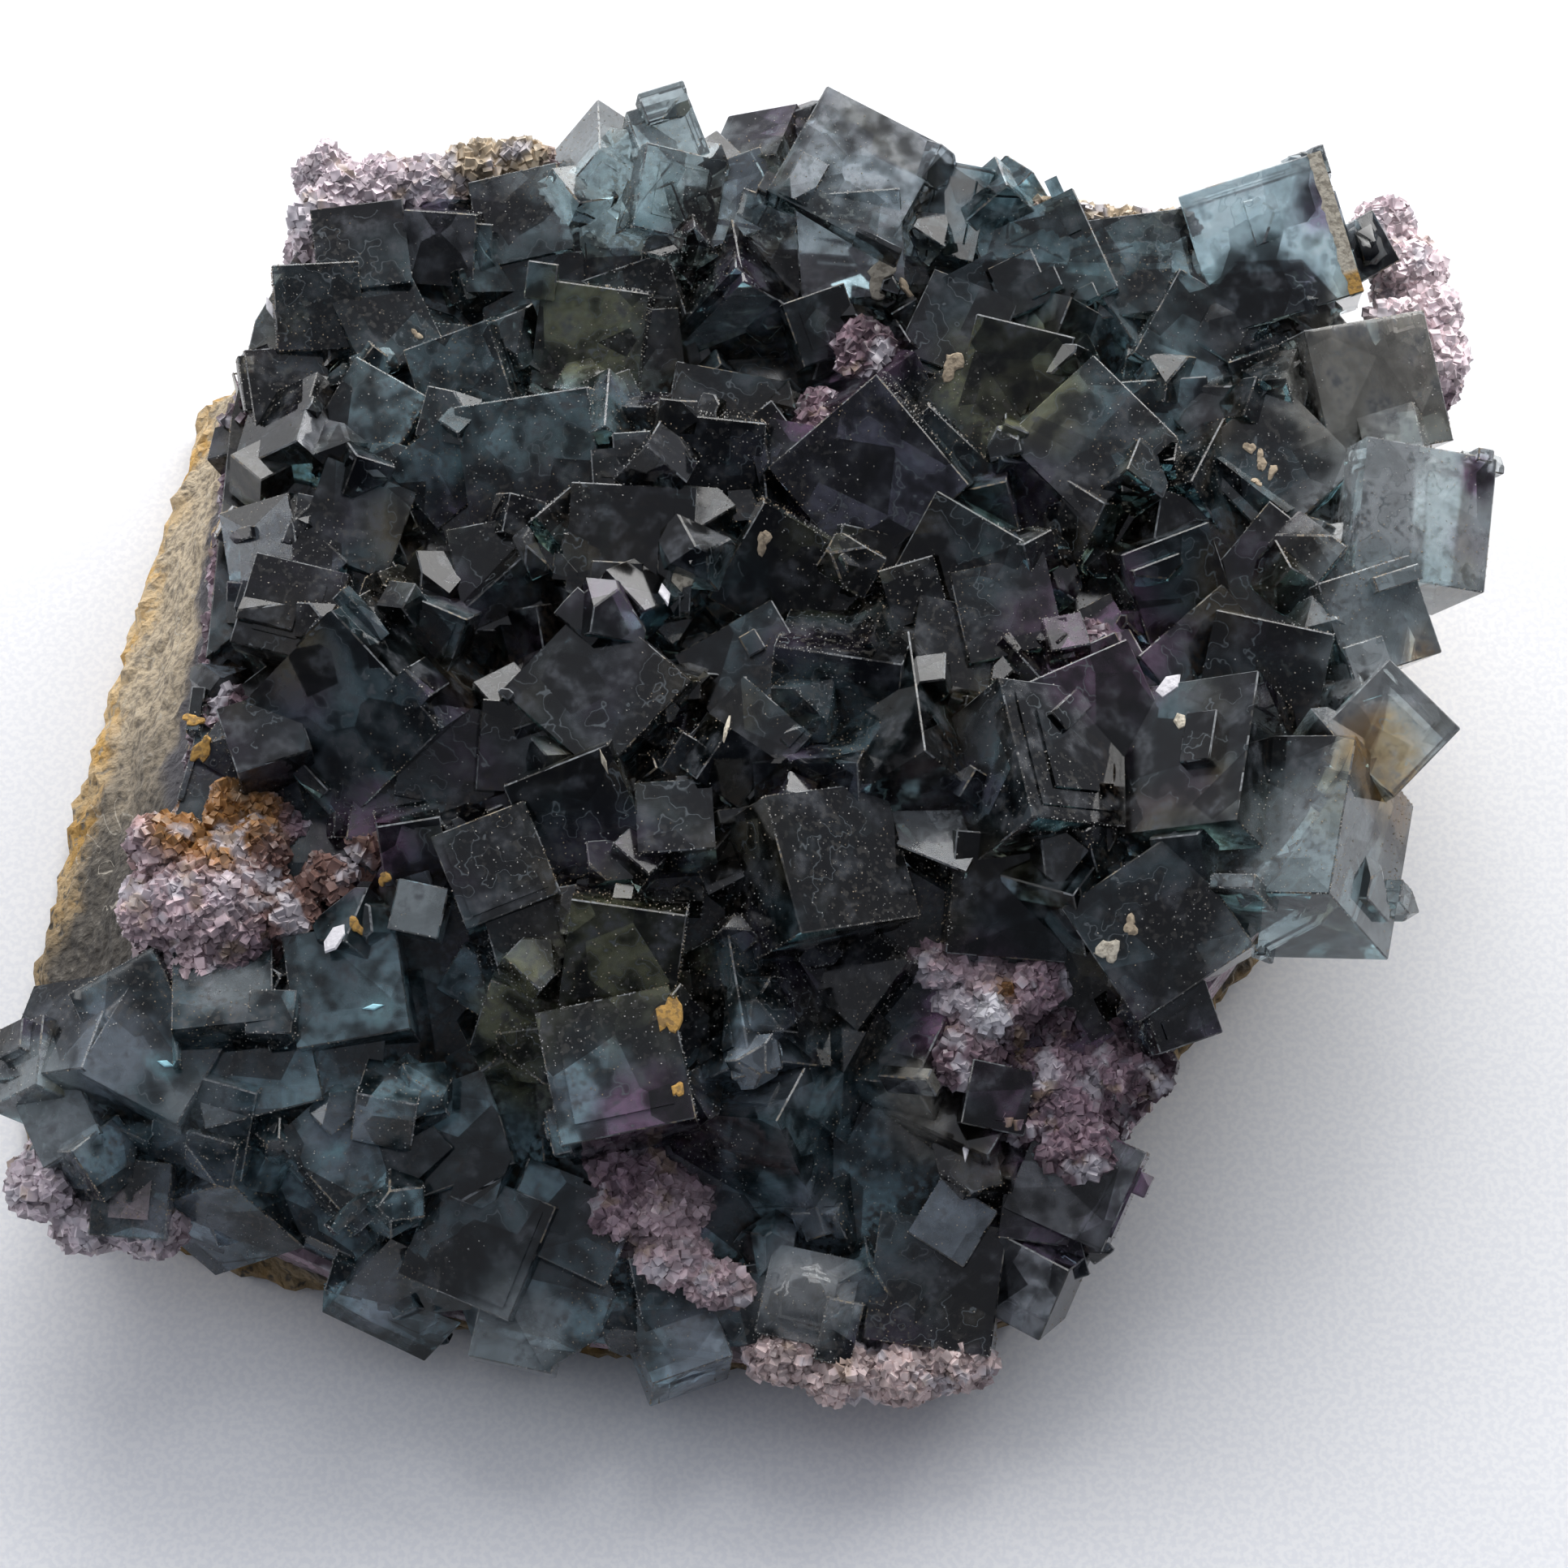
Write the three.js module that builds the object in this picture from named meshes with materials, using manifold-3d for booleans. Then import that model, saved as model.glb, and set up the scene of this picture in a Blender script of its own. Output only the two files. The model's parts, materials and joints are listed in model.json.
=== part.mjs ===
// Fluorite specimen: a flat-based slab of speckled rock, a granular purple layer that lies on it,
// and a thick crust of intergrown blue-green cubes. Millimetres, +Z up, the viewer stands at -Y.
// The origin lies on the flat underside, below the middle of the slab.
import * as THREE from "three";
import { mergeVertices } from "three/addons/utils/BufferGeometryUtils.js";
import Module from "manifold-3d";

const wasm = await Module();
wasm.setup();

// Driving dimensions
const PLATEAU_HEIGHT = 29; // crystal tops over the rear and the middle
const FRONT_START = -8; // y where the top begins to fall towards the front
const FRONT_RUN = 34; // length of that slope
const FRONT_FALL = 19; // and how far it falls
const FOLD = [-10, -39]; // y where the layers below bend down, and where they level out again
const ROCK_TOP = [18, 2.2]; // height of the slab over the rear and at the front edge
const LAYER_THICKNESS = [3.2, 1.6]; // purple layer, over the rear and at the front edge
const BED_THICKNESS = 3.2; // closed bed of crystal that all the cubes grow out of
const BED_ROOT = 1.9; // how far above the bed's underside the cubes end
const CONTACT_GAP = 0.32; // clearance between the rock, the layer and the crystals
const RIM_CLEARANCE = 1.2; // free space between the slab and the cubes that hang over it
const LOWEST_CRYSTAL = 0.6; // clearance of overhanging cubes above the ground
const BASE_CHAMFER = 0.8; // broken edge round the underside
const GROWTH_LEAN = 28; // degrees that the crystals lean from upright towards the front
const FILLER_SPACING = 8.4; // small cubes between the large ones
const FILLER_SIZE = [6, 9.5]; // their least and greatest edge
const FILLER_RISE = [-3.2, -1.4]; // their face stays below the even crystal tops
const FILLER_LEAN = 42; // most degrees that they are tipped
const FILLER_REACH = 0.92; // how far they go, as a share of the way to the rim
const CROWDING = 0.32; // a large crystal keeps fillers off this share of its size
const LUMP_ROOT = 0.8; // how deep a lump of the purple layer reaches into it
const LUMP_ROUGHNESS = 0.13; // how uneven the lumps are, as a share of their size
const LUMP_CROWDING = 0.75; // a lump keeps fillers off this share of its radius
const COARSE_LUMP = 4.7; // lumps of less radius than this have the fewest faces
const GRAIN_SIZE = [1.6, 3]; // grains on the lumps
const GRAIN_LEAN = 50; // most degrees that they are tipped
const GRAIN_STAND = 0.3; // share of a grain's size that stands out of its lump
const GRAIN_REACH = 0.85; // how far from a lump's middle they go, as a share of its radius
const GRAINS_PER_LENGTH = 0.3; // grains on a lump for each millimetre of its radius
const WALL_ROUGHNESS = 0.7; // height of the smooth bumps on the slab's wall
const WIDE = 200; // more than the specimen's length, for cutting

const DEGREE = Math.PI / 180;
const SECTORS = 48; // directions of the slab's and the layer's rings
const MIDDLE = new THREE.Vector2(-4, 0); // what the rings go round

// Plan outlines, seen from above, counter-clockwise from the right
const BASE_OUTLINE = [
  [44, 12], [45, 24], [43, 33], [37, 41], [26, 43], [12, 44], [0, 45], [-14, 45],
  [-27, 46], [-40, 47], [-46.5, 46], [-49.3, 36], [-51.6, 26], [-54, 15], [-56, 4],
  [-57.5, -9], [-58, -18], [-55, -24.5], [-48, -27.5], [-39, -30.5], [-28, -33.5],
  [-16, -36], [-3, -37.5], [9, -37], [16, -34], [20.5, -28], [23.5, -21], [29, -13],
  [35, -5], [41, 3],
];
const TOP_OUTLINE = [
  [45, 12], [46, 24], [45, 33], [39, 41.5], [27, 41], [13, 43], [2, 44], [-12, 44],
  [-24, 44.5], [-37, 44.5], [-40.5, 36.5], [-41.8, 27], [-42, 18], [-42.2, 8], [-42.8, -3],
  [-44.5, -12], [-47.5, -18], [-49.5, -23.5], [-47, -27.5], [-39, -31], [-29, -35],
  [-17, -37.5], [-3, -39], [9, -38.7], [17, -35.5], [22, -28.5], [26, -21], [32, -14],
  [38.5, -6], [43, 3],
];

// Height of the slab's wall by rows: share of the height, and how far the row stands out
const WALL_ROWS = [
  { share: 0.1, bulge: 0.6 },
  { share: 0.24, bulge: 0.9 },
  { share: 0.4, bulge: -0.3 },
  { share: 0.6, bulge: 0.3 },
  { share: 0.8, bulge: -0.2 },
  { share: 0.93, bulge: 0.2 },
];

// Places where the purple layer rises between the crystals
const LAYER_LUMPS = [
  { at: [-40, -12.2], radius: 6, rise: 7.5, drop: 4 },
  { at: [-37, -7], radius: 4, rise: 6 },
  { at: [-40, 2], radius: 3, rise: 4.5 },
  { at: [-33, 44.3], radius: 5, rise: 7.2 },
  { at: [-26, 45], radius: 4.5, rise: 6.8 },
  { at: [-20.5, 44.5], radius: 4, rise: 6 },
  { at: [-39.5, 28], radius: 3, rise: 4.5 },
  { at: [14.5, -18], radius: 4.5, rise: 6.2 },
  { at: [19, -24], radius: 5, rise: 5.2 },
  { at: [23.6, -21.5], radius: 3.8, rise: 4.8 },
  { at: [5.6, -38], radius: 4.5, rise: 2.5 },
  { at: [-50, -27.2], radius: 4.5, rise: 5 },
  { at: [-9.5, -30], radius: 4.5, rise: 6.5 },
  { at: [47.3, 33], radius: 4.4, rise: 5.5 },
  { at: [6, 33], radius: 3, rise: 4.5 },
  { at: [7, -9], radius: 2.5, rise: 4 },
];

// Cubes that turn one face to the viewer. at: middle of that face in plan where the crust is even,
// turn: heading of one of its sides, lean and toward: how far and which way the face is tipped.
const FACE_CRYSTALS = [
  // Rear left
  { at: [-31.8, 40], rise: 2, size: 7, turn: 8, lean: 18, toward: 90 },
  { at: [-26, 39.8], rise: 1.5, size: 5.5, turn: -4, lean: 12, toward: 250 },
  { at: [-34.8, 34.6], rise: 1, size: 6.5, turn: 4, lean: 8, toward: 0 },
  { at: [-29.5, 33], rise: 0, size: 6.5, turn: 25, lean: 20, toward: 60 },
  { at: [-24, 28], rise: 1, size: 7, turn: 18, lean: 15, toward: 200 },
  { at: [-30.5, 25], rise: 0.5, size: 6.5, turn: -30, lean: 10, toward: 140 },
  { at: [-38, 14], rise: 0, size: 6, turn: 12, lean: 25, toward: 170 },
  { at: [-31, 16], rise: 0.5, size: 7, turn: -20, lean: 20, toward: 30 },
  { at: [-25, 20], rise: 0, size: 6, turn: 40, lean: 12, toward: 300 },
  { at: [-35.5, 8.5], rise: 0, size: 7, turn: -14, lean: 15, toward: 90 },
  // Left
  { at: [-31.3, -0.8], rise: 2.5, size: 11.2, turn: -47, lean: 24, toward: 222 },
  { at: [-27.5, 5], rise: 1, size: 8, turn: -22, lean: 15, toward: 220 },
  { at: [-36.5, -1.5], rise: 1.5, size: 5.5, turn: 20, lean: 30, toward: 90 },
  { at: [-23.5, -3.5], rise: -1, size: 7, turn: -10, lean: 10, toward: 20 },
  { at: [-20, -11.8], rise: 0.5, size: 7, turn: 22, lean: 12, toward: 80 },
  { at: [-25.8, -11], rise: 0, size: 4.5, turn: 8, lean: 18, toward: 300 },
  { at: [-25.3, -14.6], rise: 1, size: 3.6, turn: -12, lean: 8, toward: 90 },
  { at: [-38, -13.4], rise: 4, size: 4.6, turn: -25, lean: 10, toward: 60 },
  { at: [-30.4, -19], rise: 0.5, size: 8, turn: 10, lean: 14, toward: 100 },
  { at: [-39, -19], rise: 0.5, size: 7, turn: 6, lean: 38, toward: 95 },
  { at: [-45.5, -20.8], rise: 0, size: 7, turn: 28, lean: 15, toward: 150 },
  // Middle, from the rear forwards
  { at: [-8.8, 50], rise: 5, size: 5, turn: 20, lean: 15, toward: 60 },
  { at: [-7.8, 44.5], rise: 3.5, size: 6.5, turn: 80, lean: 20, toward: 0 },
  { at: [-20, 43], rise: 1, size: 7, turn: 12, lean: 12, toward: 120 },
  { at: [5, 40], rise: 2, size: 8, turn: 4, lean: 12, toward: 270 },
  { at: [12, 43.5], rise: 2, size: 7, turn: 76, lean: 30, toward: 180 },
  { at: [5.4, 46.6], rise: 5, size: 10, turn: -28, lean: 18, toward: 70 },
  { at: [-3.8, 44.4], rise: 2, size: 6.5, turn: 20, lean: 14, toward: 110 },
  { at: [-1, 40.5], rise: 1, size: 6.5, turn: -18, lean: 16, toward: 200 },
  { at: [-14.5, 31.5], rise: 1.5, size: 8, turn: -8, lean: 10, toward: 240 },
  { at: [-18.5, 20.5], rise: 1.5, size: 10, turn: 8, lean: 8, toward: 200 },
  { at: [-11, 13.4], rise: 3, size: 9, turn: -3, lean: 5, toward: 100 },
  { at: [-11, 18.6], rise: 3.4, size: 5.6, turn: 4, lean: 8, toward: 90 },
  { at: [-5, 20.5], rise: 1.5, size: 6.8, turn: -6, lean: 14, toward: 300 },
  { at: [6.1, 19.4], rise: 2.5, size: 10.5, turn: -50, lean: 12, toward: 220 },
  { at: [3, 33], rise: 0.5, size: 5, turn: 20, lean: 10, toward: 0 },
  { at: [13, 33], rise: 0, size: 7, turn: -24, lean: 16, toward: 120 },
  { at: [-19.7, 11.5], rise: 0, size: 8, turn: 12, lean: 12, toward: 70 },
  { at: [-13.2, 2], rise: 2.5, size: 9.5, turn: -42, lean: 18, toward: 95 },
  { at: [-18.3, -2.9], rise: 0, size: 6.4, turn: -4, lean: 5, toward: 40 },
  { at: [-14.4, -8.5], rise: 0, size: 8, turn: 22, lean: 12, toward: 250 },
  { at: [-7.6, -8.3], rise: 0.5, size: 5.4, turn: 4, lean: 24, toward: 92 },
  { at: [-2.4, 3], rise: -0.5, size: 8, turn: 30, lean: 10, toward: 120 },
  { at: [-2.6, -2.2], rise: 0, size: 6.5, turn: 48, lean: 14, toward: 100 },
  { at: [0, 11], rise: 0, size: 8, turn: -30, lean: 12, toward: 280 },
  { at: [12.5, 12], rise: 0, size: 8, turn: 60, lean: 15, toward: 200 },
  { at: [-11.2, -17.8], rise: 1.5, size: 8, turn: -8, lean: 12, toward: 260 },
  { at: [-18.5, -21.8], rise: 0, size: 6, turn: 70, lean: 22, toward: 240 },
  { at: [-18, -16], rise: 0, size: 5, turn: 15, lean: 12, toward: 20 },
  // Right, from the rear forwards
  { at: [36.3, 39.8], rise: 4, size: 11, turn: 17, lean: 6, toward: 180 },
  { at: [27, 38.5], rise: 1.5, size: 8, turn: 8, lean: 15, toward: 90 },
  { at: [31, 32], rise: 0.5, size: 7.5, turn: -30, lean: 14, toward: 30 },
  { at: [19.5, 38.5], rise: 2, size: 8.5, turn: 24, lean: 14, toward: 150 },
  { at: [17, 28.5], rise: 0.5, size: 7.5, turn: -14, lean: 12, toward: 220 },
  { at: [22.3, 22.8], rise: 2.5, size: 9, turn: -47, lean: 18, toward: 130 },
  { at: [44, 27.5], rise: 1, size: 10, turn: 12, lean: 18, toward: 20 },
  { at: [46.4, 16.2], rise: 2, size: 10, turn: -8, lean: 14, toward: 30 },
  { at: [43.8, 40], rise: 1, size: 4.4, turn: 30, lean: 20, toward: 20 },
  { at: [36, 21], rise: 0, size: 9, turn: 42, lean: 14, toward: 100 },
  { at: [42.6, 7.6], rise: 1, size: 7.4, turn: 18, lean: 15, toward: 30 },
  { at: [35.5, 11], rise: 0, size: 8, turn: 50, lean: 15, toward: 160 },
  { at: [28.5, 10.5], rise: 0, size: 7, turn: 20, lean: 15, toward: 330 },
  { at: [34, 2.5], rise: 0, size: 8.5, turn: -12, lean: 12, toward: 200 },
  { at: [16, 8.5], rise: 0, size: 7, turn: 12, lean: 15, toward: 110 },
  { at: [42.6, -1.4], rise: 2, size: 7, turn: -45, lean: 10, toward: 60 },
  { at: [22.5, 0], rise: 0, size: 8, turn: 24, lean: 14, toward: 40 },
  { at: [25.8, -15.7], rise: 1, size: 9.6, turn: 34, lean: 10, toward: 150 },
  // Front slope, left part
  { at: [-43.5, -22.6], rise: 1.5, size: 8, turn: -28, lean: 20, toward: 80 },
  { at: [-37, -23], rise: 1, size: 8.5, turn: 14, lean: 12, toward: 100 },
  { at: [-31.2, -23.2], rise: 0.5, size: 6.5, turn: -6, lean: 10, toward: 60 },
  { at: [-29.2, -27.8], rise: 2, size: 8.8, turn: -48, lean: 16, toward: 42 },
  { at: [-40.5, -26.8], rise: 2, size: 7, turn: -14, lean: 22, toward: 240 },
  { at: [-45.6, -31], rise: 2, size: 5.4, turn: -4, lean: 10, toward: 90 },
  { at: [-50.6, -26.6], rise: 1, size: 5, turn: 30, lean: 20, toward: 150 },
  { at: [-23.2, -27.4], rise: 0, size: 7, turn: 20, lean: 10, toward: 120 },
  { at: [-21.5, -33.5], rise: 1.5, size: 8.6, turn: -22, lean: 12, toward: 130 },
  { at: [-18.6, -38.8], rise: 0.5, size: 6, turn: -12, lean: 12, toward: 90 },
  { at: [-14, -33], rise: 0.5, size: 6, turn: -25, lean: 14, toward: 60 },
  { at: [-15.5, -37.4], rise: 0.5, size: 7, turn: 30, lean: 14, toward: 60 },
  { at: [-7.4, -39.4], rise: 0, size: 6, turn: 20, lean: 25, toward: 80 },
  { at: [-7.4, -36.8], rise: 0, size: 6, turn: 12, lean: 12, toward: 20 },
  // Front slope, middle and right
  { at: [-11.6, -23.4], rise: 4, size: 9.5, turn: 12, lean: 14, toward: 100 },
  { at: [1.7, -37], rise: 1.5, size: 6.4, turn: -12, lean: 6, toward: 90 },
  { at: [-3.5, -37.8], rise: 0, size: 5.5, turn: 10, lean: 14, toward: 180 },
  { at: [11.8, -32.4], rise: 1.5, size: 4.6, turn: -32, lean: 10, toward: 90 },
  { at: [10.6, -36.2], rise: 1, size: 9, turn: -8, lean: 10, toward: 120 },
  { at: [16.4, -36.4], rise: 1, size: 5.8, turn: -24, lean: 24, toward: 200 },
  { at: [20.3, -30], rise: 1, size: 7.6, turn: -24, lean: 10, toward: 140 },
  { at: [18.6, -34.4], rise: 0, size: 5, turn: 16, lean: 12, toward: 330 },
  { at: [17.8, -31.6], rise: 0.5, size: 5, turn: -8, lean: 10, toward: 60 },
  { at: [15, -25.4], rise: 0.5, size: 4.6, turn: -12, lean: 10, toward: 30 },
  { at: [27.6, -20.5], rise: 0, size: 5, turn: 18, lean: 18, toward: 30 },
];

// Cubes that turn a corner to the viewer. tip: place of that corner,
// edges: headings of the three edges that run down from it.
const CORNER_CRYSTALS = [
  { tip: [-35.5, 22.5], rise: 2.5, size: 7, edges: [80, 200, 318] },
  { tip: [-13.9, 48.4], rise: 5, size: 7.5, edges: [95, 225, 330] },
  { tip: [-0.6, 48.2], rise: 4, size: 6, edges: [70, 185, 300] },
  { tip: [-3, 36.5], rise: 3.5, size: 7.4, edges: [100, 222, 335] },
  { tip: [-13, 23.6], rise: 4.4, size: 6, edges: [88, 205, 320] },
  { tip: [29.5, 19], rise: 2.5, size: 7.5, edges: [60, 190, 305] },
  { tip: [6.2, 5.5], rise: 2, size: 6, edges: [72, 200, 310] },
  { tip: [9.8, -3.2], rise: 4, size: 12, edges: [96, 212, 322] },
  { tip: [17.1, -8.4], rise: 4, size: 11, edges: [102, 221, 354] },
  { tip: [1.2, -16], rise: 4, size: 10, edges: [105, 213, 7] },
  { tip: [31, -8.6], rise: 4.5, size: 12, edges: [78, 188, 318] },
  { tip: [37.2, -13.6], rise: 4.5, size: 12, edges: [77, 180, 318] },
  { tip: [20, -13.8], rise: 1, size: 6, edges: [50, 165, 285] },
  { tip: [-2.4, -23], rise: 4, size: 9.5, edges: [100, 210, 350] },
  { tip: [-0.5, -26.4], rise: 4.5, size: 10, edges: [60, 178, 292] },
  { tip: [9, -24.6], rise: 1.5, size: 8, edges: [62, 178, 300] },
  { tip: [-27.5, -33.4], rise: 1.5, size: 8.8, edges: [95, 227, 330] },
  { tip: [-38.6, -30], rise: 2.5, size: 8.4, edges: [80, 200, 312] },
  { tip: [-48.5, -23.6], rise: 3, size: 8, edges: [75, 190, 310] },
  { tip: [-51.9, -24.6], rise: 2, size: 5.6, edges: [90, 205, 330] },
  { tip: [-49.6, -28.8], rise: 2, size: 5, edges: [70, 190, 310] },
  { tip: [3.5, -31.5], rise: 1, size: 8, edges: [60, 185, 290] },
];

// Seeded random numbers from 0 to 1
function randomSource(seed) {
  let state = seed;
  return () => {
    state = (Math.imul(state, 1664525) + 1013904223) >>> 0;
    return state / 2 ** 32;
  };
}

function between(range, share) {
  return range[0] + (range[1] - range[0]) * share;
}

function smoothStep(value) {
  const t = THREE.MathUtils.clamp(value, 0, 1);
  return t * t * (3 - 2 * t);
}

// Smooth bumps between -1 and 1 with the given wavelength
function bumps(x, y, wavelength, phase) {
  const k = (2 * Math.PI) / wavelength;
  const first = Math.sin(k * x + 1.7 * phase) * Math.cos(k * 0.83 * y - phase);
  const second = Math.sin(k * 1.61 * (0.6 * x + 0.8 * y) + 2.3 * phase);
  return 0.6 * first + 0.4 * second;
}

// Height of the even crystal tops, which falls away towards the front
function crystalTop(x, y) {
  return PLATEAU_HEIGHT - FRONT_FALL * smoothStep((FRONT_START - y) / FRONT_RUN);
}

// Height of a folded sheet from its heights over the rear and at the front edge
function sheetHeight([rear, front], y) {
  const onSlope = THREE.MathUtils.clamp(y, FOLD[1], FOLD[0]);
  return THREE.MathUtils.mapLinear(onSlope, FOLD[0], FOLD[1], rear, front);
}

// A sheet that lies higher by an amount, which may differ over the rear and at the front edge
function raised(sheet, amount) {
  return sheet.map((height, i) => height + (amount[i] ?? amount));
}

const LAYER_UNDERSIDE = raised(ROCK_TOP, CONTACT_GAP);
const LAYER_TOP = raised(LAYER_UNDERSIDE, LAYER_THICKNESS);
const BED_UNDERSIDE = raised(LAYER_TOP, CONTACT_GAP);
const CUBE_ENDS = raised(BED_UNDERSIDE, BED_ROOT);
const BED_TOP = raised(BED_UNDERSIDE, BED_THICKNESS);

// Distance from MIDDLE to an outline in one direction
function outlineRadius(outline, angle) {
  const ray = new THREE.Vector2(Math.cos(angle), Math.sin(angle));
  let radius = 0;
  outline.forEach((corner, i) => {
    const start = new THREE.Vector2(...corner).sub(MIDDLE);
    const side = new THREE.Vector2(...outline[(i + 1) % outline.length]).sub(MIDDLE).sub(start);
    const across = ray.cross(side);
    const share = start.cross(ray) / across;
    const reach = start.cross(side) / across;
    if (across !== 0 && share >= 0 && share <= 1) radius = Math.max(radius, reach);
  });
  return radius;
}

// Share of the way from MIDDLE to the slab's top outline at a place
function outlineShare(x, y) {
  const angle = Math.atan2(y - MIDDLE.y, x - MIDDLE.x);
  return Math.hypot(x - MIDDLE.x, y - MIDDLE.y) / outlineRadius(TOP_OUTLINE, angle);
}

// One ring of points: radius and height are functions of the direction and the plan position
function ring(radiusAt, heightAt) {
  const points = [];
  for (let i = 0; i < SECTORS; i += 1) {
    const angle = (2 * Math.PI * i) / SECTORS;
    const radius = radiusAt(angle);
    const x = MIDDLE.x + radius * Math.cos(angle);
    const y = MIDDLE.y + radius * Math.sin(angle);
    points.push(new THREE.Vector3(x, y, heightAt(x, y)));
  }
  return points;
}

// Closed body through rings that run from the underside round the rim to the top
function ringedBody(bottomHeight, rings, topHeight) {
  const vertices = [new THREE.Vector3(MIDDLE.x, MIDDLE.y, bottomHeight), ...rings.flat()];
  vertices.push(new THREE.Vector3(MIDDLE.x, MIDDLE.y, topHeight));
  const last = vertices.length - 1;
  const lastRing = 1 + (rings.length - 1) * SECTORS;
  const faces = [];
  for (let i = 0; i < SECTORS; i += 1) {
    const next = (i + 1) % SECTORS;
    faces.push(0, 1 + next, 1 + i);
    for (let row = 1; row < lastRing; row += SECTORS) {
      const above = row + SECTORS;
      faces.push(row + i, row + next, above + next);
      faces.push(row + i, above + next, above + i);
    }
    faces.push(lastRing + i, lastRing + next, last);
  }
  const geometry = new THREE.BufferGeometry().setFromPoints(vertices);
  geometry.setIndex(faces);
  return geometry;
}

// A closed geometry as a solid that can be joined and cut
function solidOf(geometry) {
  const bare = geometry.clone();
  bare.deleteAttribute("normal");
  bare.deleteAttribute("uv");
  const merged = mergeVertices(bare, 1e-4);
  return new wasm.Manifold(
    new wasm.Mesh({
      numProp: 3,
      vertProperties: new Float32Array(merged.attributes.position.array),
      triVerts: new Uint32Array(merged.index.array),
    }),
  );
}

function geometryOf(solid) {
  const mesh = solid.getMesh();
  const geometry = new THREE.BufferGeometry();
  geometry.setAttribute("position", new THREE.BufferAttribute(mesh.vertProperties, mesh.numProp));
  geometry.setIndex(new THREE.BufferAttribute(mesh.triVerts, 1));
  return geometry;
}

function largestBody(solid) {
  const bodies = solid.decompose();
  return bodies.sort((one, other) => other.volume() - one.volume())[0];
}

function join(solids) {
  return solids.reduce((whole, piece) => whole.add(piece));
}

// Directions of the growing crust: across it, uphill along it and out of it
const ACROSS = new THREE.Vector3(1, 0, 0);
const UPHILL = new THREE.Vector3(0, Math.cos(GROWTH_LEAN * DEGREE), Math.sin(GROWTH_LEAN * DEGREE));
const OUTWARD = new THREE.Vector3().crossVectors(ACROSS, UPHILL);

// Direction with a heading across the crust and an angle away from OUTWARD
function crustDirection(heading, fromOutward) {
  return new THREE.Vector3()
    .addScaledVector(ACROSS, Math.sin(fromOutward) * Math.cos(heading))
    .addScaledVector(UPHILL, Math.sin(fromOutward) * Math.sin(heading))
    .addScaledVector(OUTWARD, Math.cos(fromOutward));
}

// Point that stands out from the even crystal tops by the given rise
function crustPoint([x, y], rise) {
  return new THREE.Vector3(x, y, crystalTop(x, y)).addScaledVector(OUTWARD, rise);
}

function cubeOf(size, basis, middle) {
  const cube = new THREE.BoxGeometry(size, size, size);
  cube.applyMatrix4(basis);
  cube.translate(middle.x, middle.y, middle.z);
  return cube;
}

// Cube with one face towards the viewer, grown by spread on every side
function faceCube({ at, rise, size, turn, lean, toward }, spread = 0) {
  const basis = new THREE.Matrix4().makeBasis(ACROSS, UPHILL, OUTWARD);
  basis.multiply(new THREE.Matrix4().makeRotationZ(toward * DEGREE));
  basis.multiply(new THREE.Matrix4().makeRotationY(lean * DEGREE));
  basis.multiply(new THREE.Matrix4().makeRotationZ((turn - toward) * DEGREE));
  const facing = new THREE.Vector3().setFromMatrixColumn(basis, 2);
  const middle = crustPoint(at, rise).addScaledVector(facing, -size / 2);
  return cubeOf(size + 2 * spread, basis, middle);
}

// Cube with one corner towards the viewer: the headings of three edges at right angles to each
// other settle how steeply each of them runs down
function cornerCube({ tip, rise, size, edges }) {
  const headings = edges.map((edge) => edge * DEGREE);
  const directions = headings.map((heading, i) => {
    const second = headings[(i + 1) % 3];
    const third = headings[(i + 2) % 3];
    const opposite = Math.cos(second - third);
    const slope = -opposite / (Math.cos(heading - second) * Math.cos(heading - third));
    return crustDirection(heading, Math.PI - Math.atan(Math.sqrt(slope)));
  });
  const middle = crustPoint(tip, rise);
  directions.forEach((direction) => middle.addScaledVector(direction, size / 2));
  const [first, second] = directions;
  const third = new THREE.Vector3().crossVectors(first, second);
  return cubeOf(size, new THREE.Matrix4().makeBasis(first, second, third), middle);
}

// Everything under a folded sheet
function underSheet(sheet) {
  const profile = new THREE.Shape();
  profile.moveTo(-WIDE, -WIDE);
  profile.lineTo(WIDE, -WIDE);
  profile.lineTo(WIDE, sheet[0]);
  profile.lineTo(FOLD[0], sheet[0]);
  profile.lineTo(FOLD[1], sheet[1]);
  profile.lineTo(-WIDE, sheet[1]);
  const block = new THREE.ExtrudeGeometry(profile, { depth: WIDE, bevelEnabled: false });
  const axes = [new THREE.Vector3(0, 1, 0), new THREE.Vector3(0, 0, 1), new THREE.Vector3(1, 0, 0)];
  block.applyMatrix4(new THREE.Matrix4().makeBasis(...axes));
  return solidOf(block.translate(-WIDE / 2, 0, 0));
}

// Upright block with the slab's top outline, moved out by spread
function outlineBlock(spread) {
  const corners = TOP_OUTLINE.map((corner) => {
    const arm = new THREE.Vector2(...corner).sub(MIDDLE);
    return arm.setLength(arm.length() + spread).add(MIDDLE);
  });
  const block = new THREE.ExtrudeGeometry(new THREE.Shape(corners), {
    depth: 2 * PLATEAU_HEIGHT,
    bevelEnabled: false,
  });
  return solidOf(block.translate(0, 0, -PLATEAU_HEIGHT / 2));
}

// The part of the outline block between two sheets
function sheetBody(underside, top, spread) {
  return outlineBlock(spread).intersect(underSheet(top)).subtract(underSheet(underside));
}

// Whether a large crystal already stands at a place
function isTaken(x, y) {
  const places = [...FACE_CRYSTALS, ...CORNER_CRYSTALS];
  return places.some((crystal) => {
    const [cx, cy] = crystal.at ?? crystal.tip;
    return Math.hypot(x - cx, y - cy) < CROWDING * crystal.size;
  });
}

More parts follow.
